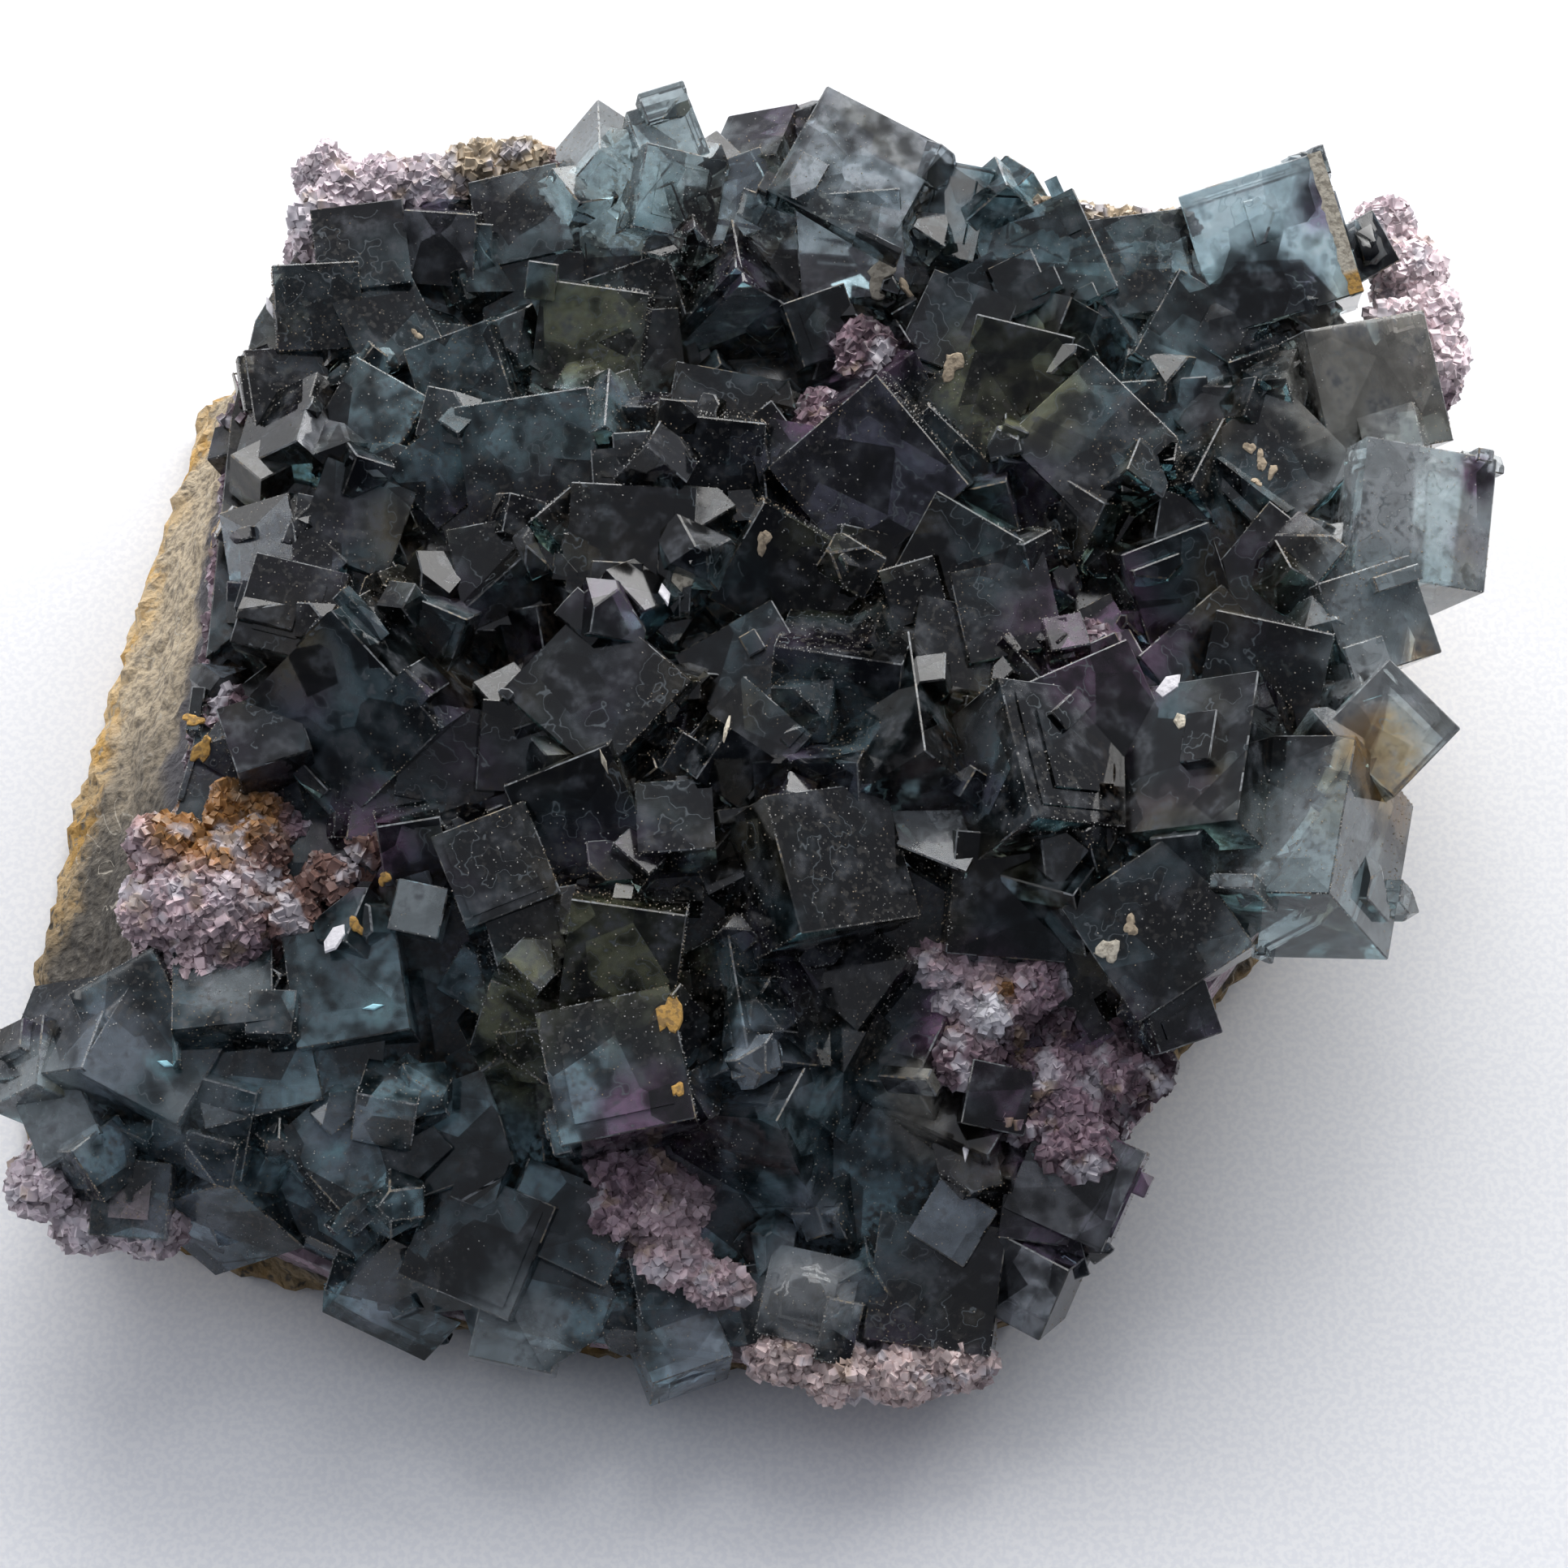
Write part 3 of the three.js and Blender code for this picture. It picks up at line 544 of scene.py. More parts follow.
@dataclass(frozen=True)
class RockFinish:
    """Grey-brown speckled rock: buff rind below, a dark bluish band and a buff line on top; painted light and shade
    make it dark at the front and tan and lighter further back, and painted shade darkens the back wall.
    """

    name: str = "host_rock_weathered"
    rind: Colour = (0.52, 0.37, 0.19)
    ochre: Colour = (0.50, 0.29, 0.075)
    tan: Colour = (0.42, 0.34, 0.23)
    body: Colour = (0.135, 0.115, 0.088)
    dark: Colour = (0.055, 0.05, 0.048)
    band: Colour = (0.075, 0.07, 0.075)
    vein: Colour = (0.42, 0.38, 0.31)
    rind_top: float = 4.8
    band_foot: float = 14.2
    line_foot: float = 16.2
    tan_from: float = -2.0
    tan_to: float = 16.0
    rear_from: float = 39.0
    rear_to: float = 45.0

    def material(self) -> bpy.types.Material:
        """Make the material.

        Returns:
            The material.
        """
        tree = ShaderTree(self.name)
        up = tree.place("Z")
        stir = tree.math("MULTIPLY", tree.math("SUBTRACT", tree.grain(6.0, 4.0), 0.5), 6 * MM)
        level = tree.math("ADD", up, stir)
        speckle = tree.grain(0.7, 3.0)
        # pale runs from the front to the back: the walls turn from dark to tan there as painted light and shade.
        pale = tree.math("ADD", tree.place("Y"), tree.math("MULTIPLY", stir, 3.0))
        ground = tree.mix(tree.span(pale, self.tan_from * MM, self.tan_to * MM), self.body, self.tan)
        colour = tree.mix(tree.span(speckle, 0.34, 0.56, 0.45, 1.0), self.dark, ground)
        colour = tree.mix(tree.span(speckle, 0.60, 0.78, 0.0, 0.7), colour, self.vein)
        band = tree.span(level, (self.band_foot - 1.5) * MM, self.band_foot * MM)
        colour = tree.mix(band, colour, self.band)
        line = tree.span(level, (self.line_foot - 0.6) * MM, self.line_foot * MM)
        fibres = tree.span(tree.grain(1.2, 3.0), 0.42, 0.58)
        colour = tree.mix(tree.math("MULTIPLY", line, fibres), colour, self.rind)
        rind = tree.span(level, (self.rind_top + 1.0) * MM, (self.rind_top - 1.0) * MM)
        ochre = tree.mix(tree.span(tree.grain(5.0, 3.0), 0.48, 0.64), self.rind, self.ochre)
        rind_colour = tree.mix(tree.span(speckle, 0.48, 0.34), ochre, ground)
        colour = tree.mix(rind, colour, rind_colour)
        # Painted shade darkens the front walls and the rind, painted light brightens the walls further back.
        light = tree.span(pale, -0.8 * self.tan_to * MM, self.tan_to * MM, 0.42, 1.1)
        # Painted shade darkens the back wall, which faces the window.
        rear_shade = tree.span(tree.place("Y"), self.rear_from * MM, self.rear_to * MM, 1.0, 0.55)
        colour = tree.times(colour, tree.math("MULTIPLY", light, rear_shade))
        crack = tree.span(tree.math("ABSOLUTE", tree.math("SUBTRACT", tree.grain(9.0, 3.0, 0.6), 0.5)), 0.006, 0.0)
        crack = tree.math("MULTIPLY", crack, tree.span(tree.grain(7.0, 2.0), 0.52, 0.6, 0.0, 0.8))
        colour = tree.mix(crack, colour, self.vein)
        tree.set("Base Color", colour)
        tree.set("Roughness", tree.span(speckle, 0.3, 0.7, 0.95, 0.7))
        tree.relief(speckle, 0.6, 0.9)
        return tree.material


@dataclass(frozen=True)
class ClayFinish:
    """Dry tan clay that fills hollows and lies on the crystals in flakes, whose tone also colours pale shards that
    paint glints of reflected light.
    """

    name: str = "tan_clay"
    soil: Colour = (0.10, 0.075, 0.05)

    def material(self) -> bpy.types.Material:
        """Make the material.

        Returns:
            The material.
        """
        tree = ShaderTree(self.name)
        colour = tree.own("tone", "Color")
        dark = tree.mix(0.55, colour, self.soil)
        dirt = tree.math("MULTIPLY", tree.span(tree.grain(0.4, 4.0), 0.52, 0.40), tree.span(tree.grey(colour), 0.45, 0.65, 1.0, 0.1))
        tree.set("Base Color", tree.mix(dirt, colour, dark))
        tree.set("Roughness", 0.92)
        tree.relief(tree.grain(0.35, 4.0), 0.12, 0.8)
        return tree.material


@dataclass(frozen=True)
class DustFinish:
    """Pale grey and tan dust."""

    name: str = "pale_dust"
    pale: Colour = (0.42, 0.41, 0.39)
    tan: Colour = (0.36, 0.28, 0.19)

    def material(self) -> bpy.types.Material:
        """Make the material.

        Returns:
            The material.
        """
        tree = ShaderTree(self.name)
        tree.set("Base Color", tree.mix(tree.span(tree.grain(5.0, 3.0), 0.45, 0.62), self.pale, self.tan))
        tree.set("Roughness", 0.9)
        return tree.material


@dataclass(frozen=True)
class WornEdgeFinish:
    """Bruised crystal edges that hold pale dust."""

    name: str = "worn_edges"
    pale: Colour = (0.165, 0.175, 0.18)
    tan: Colour = (0.21, 0.17, 0.115)
    dark: Colour = (0.07, 0.075, 0.08)

    def material(self) -> bpy.types.Material:
        """Make the material.

        Returns:
            The material.
        """
        tree = ShaderTree(self.name)
        dust = tree.mix(tree.span(tree.grain(7.0, 2.0), 0.52, 0.62), self.pale, self.tan)
        tree.set("Base Color", tree.mix(tree.span(tree.grain(0.35, 3.0), 0.56, 0.44), dust, self.dark))
        tree.set("Roughness", 0.5)
        return tree.material


@dataclass(frozen=True)
class FloorFinish:
    """Matt pale sheet with a fine grain."""

    name: str = "pale_sheet"
    light: Colour = (0.80, 0.80, 0.80)
    shade: Colour = (0.74, 0.745, 0.76)

    def material(self) -> bpy.types.Material:
        """Make the material.

        Returns:
            The material.
        """
        tree = ShaderTree(self.name)
        fine = tree.grain(0.45, 1.0)
        tree.set("Base Color", tree.mix(tree.span(fine, 0.40, 0.60), self.shade, self.light))
        tree.set("Roughness", 0.85)
        return tree.material


# Mesh work shared by the pieces


def merged_copy(node: str) -> bmesh.types.BMesh:
    """Copy a solid of the frame and join its loose triangles.

    Args:
        node: the solid's name.

    Returns:
        The closed mesh.
    """
    mesh = bmesh.new()
    mesh.from_mesh(frame["nodes"][node].data)
    bmesh.ops.remove_doubles(mesh, verts=mesh.verts, dist=MERGE)
    return mesh


def refine(mesh: bmesh.types.BMesh, length: float, rounds: int, wanted: Callable[[Vector], bool]) -> None:
    """Cut long edges in two until they are short, where that is wanted.

    Args:
        mesh: the mesh, changed in place.
        length: the longest edge to leave, in metres.
        rounds: how often the edges are cut.
        wanted: says of a point whether edges near it are cut.
    """
    for _ in range(rounds):
        long = [
            edge
            for edge in mesh.edges
            if edge.calc_length() > length and wanted((edge.verts[0].co + edge.verts[1].co) / 2)
        ]
        if not long:
            break
        bmesh.ops.subdivide_edges(mesh, edges=long, cuts=1)
        bmesh.ops.triangulate(mesh, faces=mesh.faces)


def smooth(share: np.ndarray) -> np.ndarray:
    """Return a smooth step from 0 to 1 over the same range."""
    share = np.clip(share, 0.0, 1.0)
    return share * share * (3.0 - 2.0 * share)


def points_of(data: bpy.types.Mesh) -> np.ndarray:
    """Return a mesh's points as rows of x, y and z in metres."""
    flat = np.empty(len(data.vertices) * 3, np.float32)
    data.vertices.foreach_get("co", flat)
    return flat.reshape(-1, 3).astype(float)


def noise_at(points: np.ndarray, size_mm: float) -> np.ndarray:
    """Return smooth noise from about -1 to 1 at each point, with spots of that size."""
    return np.array([noise.noise(Vector(point) / (size_mm * MM)) for point in points])


def tinted(points: np.ndarray, grounds: Sequence[Colour], patches: Iterable[Patch]) -> np.ndarray:
    """Colour points by slow noise and then by the patches that lie over them.

    Args:
        points: rows of x, y and z in metres.
        grounds: the ground's colours, of which later ones cover less.
        patches: the patches, of which later ones lie on top.

    Returns:
        A row of red, green and blue for each point.
    """
    colours = np.tile(np.array(grounds[0]), (len(points), 1))
    for number, ground in enumerate(grounds[1:]):
        drift = noise_at(points + number * DRIFT_APART * MM, DRIFT_SIZE)
        share = smooth(1.6 * drift + (0.5, 0.1, 0.0)[number])[:, None]
        colours += share * (np.array(ground) - colours)
    stir = noise_at(points, 2.4)
    for patch in patches:
        away = np.hypot(points[:, 0] - patch.x * MM, points[:, 1] - patch.y * MM) / (patch.radius * MM)
        inside = smooth((1.0 + PATCH_FADE - away - PATCH_STIR * stir) / (2.0 * PATCH_FADE))[:, None]
        colours += inside * (np.array(patch.tone.value) - colours)
    return colours


def carry(data: bpy.types.Mesh, name: str, values: np.ndarray) -> None:
    """Write numbers or colours onto a mesh's points.

    Args:
        data: the mesh.
        name: the attribute's name.
        values: one number, or one row of red, green and blue, for each point.
    """
    if values.ndim == 2:
        four = np.ones((len(values), 4), np.float32)
        four[:, :3] = values
        data.attributes.new(name, "FLOAT_COLOR", "POINT").data.foreach_set("color", four.ravel())
    else:
        numbers = values.astype(np.float32)
        data.attributes.new(name, "FLOAT", "POINT").data.foreach_set("value", numbers)


def shelter(mesh: bmesh.types.BMesh, cover: BVHTree, reach: float, rays: int) -> list[float]:
    """Measure how shut in each point of a mesh is.

    Args:
        mesh: the mesh.
        cover: what may stand over it.
        reach: how far away something still shelters a point, in metres.
        rays: how many directions are tried.

    Returns:
        0 for an open point and 1 for one that is shut in, for each vertex.
    """
    dice = random.Random(SHELTER_SEED)
    spread = [Vector((dice.gauss(0, 1), dice.gauss(0, 1), dice.gauss(0, 1))).normalized() for _ in range(rays)]
    found = []
    for vertex in mesh.verts:
        start = vertex.co + vertex.normal * SKIN
        aims = (vertex.normal + way * 0.95 for way in spread)
        hits = sum(cover.ray_cast(start, aim, reach)[0] is not None for aim in aims)
        found.append(hits / rays)
    return found


def drop_folds(mesh: bmesh.types.BMesh) -> None:
    """Remove pairs of triangles that lie back to back on the same three corners.

    Args:
        mesh: a closed mesh of triangles, changed in place.
    """
    mesh.verts.index_update()
    sides: dict[frozenset[int], tuple[list, list]] = {}
    for face in mesh.faces:
        corners = [vertex.index for vertex in face.verts]
        first = corners.index(min(corners))
        turned = corners[(first + 1) % 3] > corners[(first + 2) % 3]
        sides.setdefault(frozenset(corners), ([], []))[turned].append(face)
    for front, back in sides.values():
        for one, other in zip(front, back):
            mesh.faces.remove(one)
            mesh.faces.remove(other)
    bare = [edge for edge in mesh.edges if not edge.link_faces]
    bmesh.ops.delete(mesh, geom=bare, context="EDGES")
    loose = [vertex for vertex in mesh.verts if not vertex.link_edges]
    bmesh.ops.delete(mesh, geom=loose, context="VERTS")


def part_sheets(mesh: bmesh.types.BMesh) -> None:
    """Part two sheets of a surface that use one and the same edge.

    Args:
        mesh: a closed mesh of triangles, changed in place.
    """
    for edge in [edge for edge in mesh.edges if len(edge.link_faces) > 2]:
        ways = {loop.face: loop.vert for loop in edge.link_loops}
        corners = {face: next(vertex for vertex in face.verts if vertex not in edge.verts) for face in ways}
        pairs = [
            (one, two)
            for one, two in combinations(ways, 2)
            if ways[one] != ways[two] and corners[one] != corners[two]
        ]
        if not pairs:
            continue
        pair = max(pairs, key=lambda two: two[0].normal.dot(two[1].normal))
        corner = corners[pair[0]]
        middle = (edge.verts[0].co + edge.verts[1].co) / 2
        point = mesh.verts.new(middle.lerp(corner.co, PARTING))
        for face in pair:
            for gone in edge.verts:
                mesh.faces.new([point if vertex is gone else vertex for vertex in face.verts], face)
            mesh.faces.remove(face)


def facet_number(face: bmesh.types.BMFace) -> float:
    """Return a number from 0 to 1 that belongs to the plane of a face."""
    way = face.normal
    offset = face.calc_center_median().dot(way)
    key = (round(way.x * 30), round(way.y * 30), round(way.z * 30), round(offset / (0.6 * MM)))
    return zlib.crc32(repr(key).encode()) / 2**32


def finished(mesh: bmesh.types.BMesh, name: str, material: bpy.types.Material) -> bpy.types.Object:
    """Turn a mesh into a piece with one finish, linked into the scene.

    Args:
        mesh: the mesh, which is freed.
        name: the piece's name.
        material: its finish.

    Returns:
        The piece.
    """
    data = bpy.data.meshes.new(name)
    mesh.to_mesh(data)
    mesh.free()
    data.materials.append(material)
    piece = bpy.data.objects.new(name, data)
    bpy.context.scene.collection.objects.link(piece)
    return piece


def tell(piece: bpy.types.Object) -> None:
    """Log a piece's name and how many faces it has."""
    log.info("%s: %d faces", piece.name, len(piece.data.polygons))


# Geometry Nodes for what repeats


class GrowthTree(NodeSheet):
    """A Geometry Nodes tree with named inputs, and ways to grow boxes on a surface."""

    def __init__(self, name: str, inputs: dict[str, str]) -> None:
        """Start the tree.

        Args:
            name: the tree's name.
            inputs: each input's name and its socket type.
        """
        super().__init__(bpy.data.node_groups.new(name, "GeometryNodeTree"))
        sockets = self.tree.interface
        sockets.new_socket("Geometry", in_out="INPUT", socket_type="NodeSocketGeometry")
        self.inputs = {
            label: sockets.new_socket(label, in_out="INPUT", socket_type=kind) for label, kind in inputs.items()
        }
        sockets.new_socket("Geometry", in_out="OUTPUT", socket_type="NodeSocketGeometry")
        self.given = self.add("NodeGroupInput").outputs
        self.made = self.add("NodeGroupOutput")

    def named(self, attribute: str, kind: str = "FLOAT") -> Socket:
        """Return an attribute that the ground carries."""
        node = self.add("GeometryNodeInputNamedAttribute", data_type=kind)
        node.inputs["Name"].default_value = attribute
        return node.outputs["Attribute"]

    def joined(self, parts: Sequence[Value]) -> Socket:
        """Return a vector made of three numbers."""
        node = self.add("ShaderNodeCombineXYZ")
        for socket, part in zip(node.inputs, parts):
            self.feed(socket, part)
        return node.outputs[0]

    def chance(self, low: Value, high: Value, seed: Value, kind: str = "FLOAT") -> Socket:
        """Draw a random number or vector for each point.

        Args:
            low: the lowest value.
            high: the highest value.
            seed: the seed.
            kind: FLOAT or FLOAT_VECTOR.

        Returns:
            The value.
        """
        node = self.add("FunctionNodeRandomValue", data_type=kind)
        first = 0 if kind == "FLOAT_VECTOR" else 2
        self.feed(node.inputs[first], low)
        self.feed(node.inputs[first + 1], high)
        self.feed(node.inputs["Seed"], seed)
        return node.outputs[first // 2]

    def strewn(self, density: Socket, where: Socket, seed: Value) -> bpy.types.Node:
        """Strew points over the ground.

        Args:
            density: points for each square metre.
            where: the share of them that is kept, over the ground.
            seed: the seed.

        Returns:
            The node with the points and their rotations.
        """
        node = self.add("GeometryNodeDistributePointsOnFaces", distribute_method="RANDOM")
        self.feed(node.inputs["Mesh"], self.given["Geometry"])
        self.feed(node.inputs["Density"], self.math("MULTIPLY", density, where))
        self.feed(node.inputs["Seed"], seed)
        return node

    def grit(self) -> Socket:
        """Return a three-sided grain, the plainest closed shape."""
        node = self.add("GeometryNodeMeshCone", fill_type="NGON")
        for label, value in {"Vertices": 3, "Radius Top": 0.0, "Radius Bottom": 0.7, "Depth": 0.8}.items():
            self.feed(node.inputs[label], value)
        return node.outputs["Mesh"]

    def stood(self, points: Socket, rotation: Socket, scale: Socket, shapes: Socket | None = None) -> Socket:
        """Stand a cube, or another shape, on each point.

        Args:
            points: the points.
            rotation: how each shape is turned.
            scale: each shape's size.
            shapes: the collection to pick from, the one shape, or nothing for a cube.

        Returns:
            The shapes, not yet real.
        """
        node = self.add("GeometryNodeInstanceOnPoints")
        if shapes is None:
            self.feed(node.inputs["Instance"], self.add("GeometryNodeMeshCube").outputs["Mesh"])
        elif shapes.type == "GEOMETRY":
            self.feed(node.inputs["Instance"], shapes)
        else:
            info = self.add("GeometryNodeCollectionInfo", transform_space="ORIGINAL")
            self.feed(info.inputs["Collection"], shapes)
            info.inputs["Separate Children"].default_value = True
            info.inputs["Reset Children"].default_value = True
            self.feed(node.inputs["Instance"], info.outputs[0])
            node.inputs["Pick Instance"].default_value = True
        self.feed(node.inputs["Points"], points)
        self.feed(node.inputs["Rotation"], rotation)
        self.feed(node.inputs["Scale"], scale)
        return node.outputs[0]

    def united(self, parts: Iterable[Socket]) -> Socket:
        """Return several closed shapes joined into one solid."""
        node = self.add("GeometryNodeMeshBoolean", operation="UNION", solver="MANIFOLD")
        for part in parts:
            self.tree.links.new(part, node.inputs["Mesh 2"])
        return node.outputs["Mesh"]

    def turned(self, rotation: Socket, tilt: Socket, seed: Value) -> Socket:
        """Turn each point's rotation at random.

        Args:
            rotation: the rotation that stands on the ground.
            tilt: the largest lean in radians.
            seed: the seed.

        Returns:
            The new rotation.
        """
        back = self.math("MULTIPLY", tilt, -1.0)
        low = self.joined((back, back, 0.0))
        high = self.joined((tilt, tilt, math.tau))
        node = self.add("FunctionNodeRotateRotation", rotation_space="LOCAL")
        self.feed(node.inputs[0], rotation)
        self.feed(node.inputs[1], self.chance(low, high, seed, "FLOAT_VECTOR"))
        return node.outputs[0]

    def dress(self, shape: Socket) -> None:
        """Make the shape real, give it its finish and put it out."""
        real = self.add("GeometryNodeRealizeInstances")
        dressed = self.add("GeometryNodeSetMaterial")
        self.feed(real.inputs[0], shape)
        self.feed(dressed.inputs["Geometry"], real.outputs[0])
        self.feed(dressed.inputs["Material"], self.given["Material"])
        self.feed(self.made.inputs[0], dressed.outputs[0])

    def run(self, ground: bpy.types.Mesh, name: str, values: dict[str, object]) -> bpy.types.Mesh:
        """Run the tree on a mesh.

        Args:
            ground: the mesh that it starts from.
            name: the result's name.
            values: a value for each named input.

        Returns:
            The result as a plain mesh.
        """
        host = bpy.data.objects.new(name + "_host", ground)
        bpy.context.scene.collection.objects.link(host)
        modifier = host.modifiers.new(name, "NODES")
        modifier.node_group = self.tree
        for label, value in values.items():
            modifier[self.inputs[label].identifier] = value
        graph = bpy.context.evaluated_depsgraph_get()
        data = bpy.data.meshes.new_from_object(host.evaluated_get(graph))
        data.name = name
        host.modifiers.remove(modifier)
        bpy.data.objects.remove(host)
        data.materials.clear()
        data.materials.append(values["Material"])
        data.polygons.foreach_set("material_index", [0] * len(data.polygons))
        return data


@dataclass(frozen=True)
class DruseGrowth:
    """Small cubes or grains that stand on a surface, each turned at random."""

    per_square_mm: float
    smallest: float
    largest: float
    tilt: float
    seed: int
    grains: bool = False

    def grow(self, ground: bpy.types.Mesh, name: str, material: bpy.types.Material) -> bpy.types.Object:
        """Grow the cubes where the ground's attribute "open" says so.

        Args:
            ground: the mesh that they grow on.
            name: the new piece's name.
            material: their finish.

        Returns:
            The piece.
        """
        floats = ("Density", "Smallest", "Largest", "Tilt")
        kinds = {label: "NodeSocketFloat" for label in floats}
        tree = GrowthTree(name, kinds | {"Seed": "NodeSocketInt", "Material": "NodeSocketMaterial"})
        given = tree.given
        points = tree.strewn(given["Density"], tree.named("open"), given["Seed"])
        rotation = tree.turned(points.outputs["Rotation"], given["Tilt"], given["Seed"])
        size = tree.chance(given["Smallest"], given["Largest"], given["Seed"])
        shape = tree.grit() if self.grains else None
        tree.dress(tree.stood(points.outputs["Points"], rotation, size, shape))
        values = {
            "Density": self.per_square_mm / MM**2,
            "Smallest": self.smallest * MM,
            "Largest": self.largest * MM,
            "Tilt": self.tilt,
            "Seed": self.seed,
            "Material": material,
        }
        return linked(tree.run(ground, name, values))


@dataclass(frozen=True)
class Fragments:
    """Cubes with corners broken off along their cleavage, one millimetre large before they are sized."""

    count: int = 7
    most_breaks: int = 4
    depth: tuple[float, float] = (0.42, 0.74)
    seed: int = 14

    def collection(self) -> bpy.types.Collection:
        """Make the shapes.

        Returns:
            A collection of them that isn't in the scene.
        """
        dice = random.Random(self.seed)
        shelf = bpy.data.collections.new("fragments")
        for number in range(self.count):
            mesh = bmesh.new()
            bmesh.ops.create_cube(mesh, size=1.0)
            for _ in range(dice.randint(0, self.most_breaks)):
                way = Vector([dice.choice((-1, 1)) for _ in range(3)]).normalized()
                cut = bmesh.ops.bisect_plane(
                    mesh,
                    geom=mesh.verts[:] + mesh.edges[:] + mesh.faces[:],
                    plane_co=way * dice.uniform(*self.depth),
                    plane_no=way,
                    clear_outer=True,
                )
                rim = [item for item in cut["geom_cut"] if isinstance(item, bmesh.types.BMEdge)]
                if rim:
                    bmesh.ops.edgenet_fill(mesh, edges=rim)
            bmesh.ops.recalc_face_normals(mesh, faces=mesh.faces)
            data = bpy.data.meshes.new(f"fragment_{number}")
            mesh.to_mesh(data)
            mesh.free()
            shelf.objects.link(bpy.data.objects.new(data.name, data))
        return shelf

    def clear(self, shelf: bpy.types.Collection) -> None:
        """Remove the shapes once they have been used."""
        for shape in list(shelf.objects):
            bpy.data.objects.remove(shape)
        bpy.data.collections.remove(shelf)


@dataclass(frozen=True)
class CrustGrowth:
    """Blocks in line with the crystal under them, and loose cubes in the nooks."""

    blocks_per_square_mm: float = 0.007
    block_smallest: tuple[float, float, float] = (0.9, 0.9, 0.4)
    block_largest: tuple[float, float, float] = (4.8, 4.2, 2.4)
    nook_per_square_mm: float = 0.06
    nook_smallest: float = 1.2
    nook_largest: float = 4.4
    lean: float = 0.9
    seed: int = 21
    fragments: Fragments = Fragments()

    def grow(self, solid: bpy.types.Mesh, ground: bpy.types.Mesh, material: bpy.types.Material) -> bpy.types.Mesh:
        """Grow blocks and cubes, and join them and the crystals into one solid.

        Args:
            solid: the crystals as few flat facets.
            ground: the same surface in small faces, with "along", "block" and "nook".
            material: their finish.

        Returns:
            The joined mesh.
        """
        shelf = self.fragments.collection()
        core = bpy.data.objects.new("crust_core", solid)
        vector, number = "NodeSocketVector", "NodeSocketFloat"
        settings = {
            "Block density": (number, self.blocks_per_square_mm / MM**2),
            "Block smallest": (vector, [part * MM for part in self.block_smallest]),
            "Block largest": (vector, [part * MM for part in self.block_largest]),
            "Nook density": (number, self.nook_per_square_mm / MM**2),
            "Nook smallest": (number, self.nook_smallest * MM),
            "Nook largest": (number, self.nook_largest * MM),
            "Lean": (number, self.lean),
            "Seed": ("NodeSocketInt", self.seed),
            "Fragments": ("NodeSocketCollection", shelf),
            "Solid": ("NodeSocketObject", core),
            "Material": ("NodeSocketMaterial", material),
        }
        tree = GrowthTree("crust_growth", {label: kind for label, (kind, _) in settings.items()})
        given = tree.given
        seed = given["Seed"]
        points = tree.strewn(given["Block density"], tree.named("block"), seed)
        lined = tree.add("FunctionNodeAlignRotationToVector", axis="X", pivot_axis="Z")
        tree.feed(lined.inputs["Rotation"], points.outputs["Rotation"])
        tree.feed(lined.inputs["Vector"], tree.named("along", "FLOAT_VECTOR"))
        size = tree.chance(given["Block smallest"], given["Block largest"], seed, "FLOAT_VECTOR")
        blocks = tree.stood(points.outputs["Points"], lined.outputs[0], size, given["Fragments"])
        shut_in = tree.math("POWER", tree.named("nook"), 2.0)
        points = tree.strewn(given["Nook density"], shut_in, seed)
        rotation = tree.turned(points.outputs["Rotation"], given["Lean"], seed)
        side = tree.chance(given["Nook smallest"], given["Nook largest"], seed)
        loose = tree.stood(points.outputs["Points"], rotation, side, given["Fragments"])
        info = tree.add("GeometryNodeObjectInfo", transform_space="ORIGINAL")
        tree.feed(info.inputs["Object"], given["Solid"])
        tree.dress(tree.united((loose, blocks, info.outputs["Geometry"])))
        grown = tree.run(ground, "crust_grown", {label: value for label, (_, value) in settings.items()})
        self.fragments.clear(shelf)
        bpy.data.objects.remove(core)
        return grown


def linked(data: bpy.types.Mesh) -> bpy.types.Object:
    """Return a new object in the scene that shows a mesh."""
    piece = bpy.data.objects.new(data.name, data)
    bpy.context.scene.collection.objects.link(piece)
    return piece


# The rock slab


@dataclass
class HostRock:
    """The slab of rock under the crystals."""

    finish: RockFinish = field(default_factory=RockFinish)
    edge: float = 1.1
    relief: float = 0.55
    foot: float = 0.3
    rounds: int = 4

    def build(self) -> bpy.types.Object:
        """Copy the slab, roughen its walls and dress it.

        Returns:
            The piece that stands for the slab.
        """
        mesh = merged_copy("matrix_rock")
        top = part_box("matrix_rock")[1].z
        refine(mesh, self.edge * MM, self.rounds, lambda p: self.foot * MM < p.z < top - 0.2 * MM)
        mesh.normal_update()
        rind = self.finish.rind_top * MM
        for vertex in mesh.verts:
            if vertex.co.z < self.foot * MM:
                continue
            coarse = noise.fractal(vertex.co / (3.0 * MM), 1.0, 2.0, 3)
            knobs = noise.fractal(vertex.co / (0.9 * MM), 1.0, 2.0, 2)
            rough = 1.7 if vertex.co.z < rind else 1.0
            vertex.co += vertex.normal * self.relief * rough * MM * (0.7 * coarse + 0.5 * knobs + 0.2)
            vertex.co.z = max(vertex.co.z, 0.5 * self.foot * MM)
        piece = finished(mesh, "rock_slab", self.finish.material())
        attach(piece, ROOT)
        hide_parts("matrix_rock")
        tell(piece)
        return piece


# The purple layer and its druse


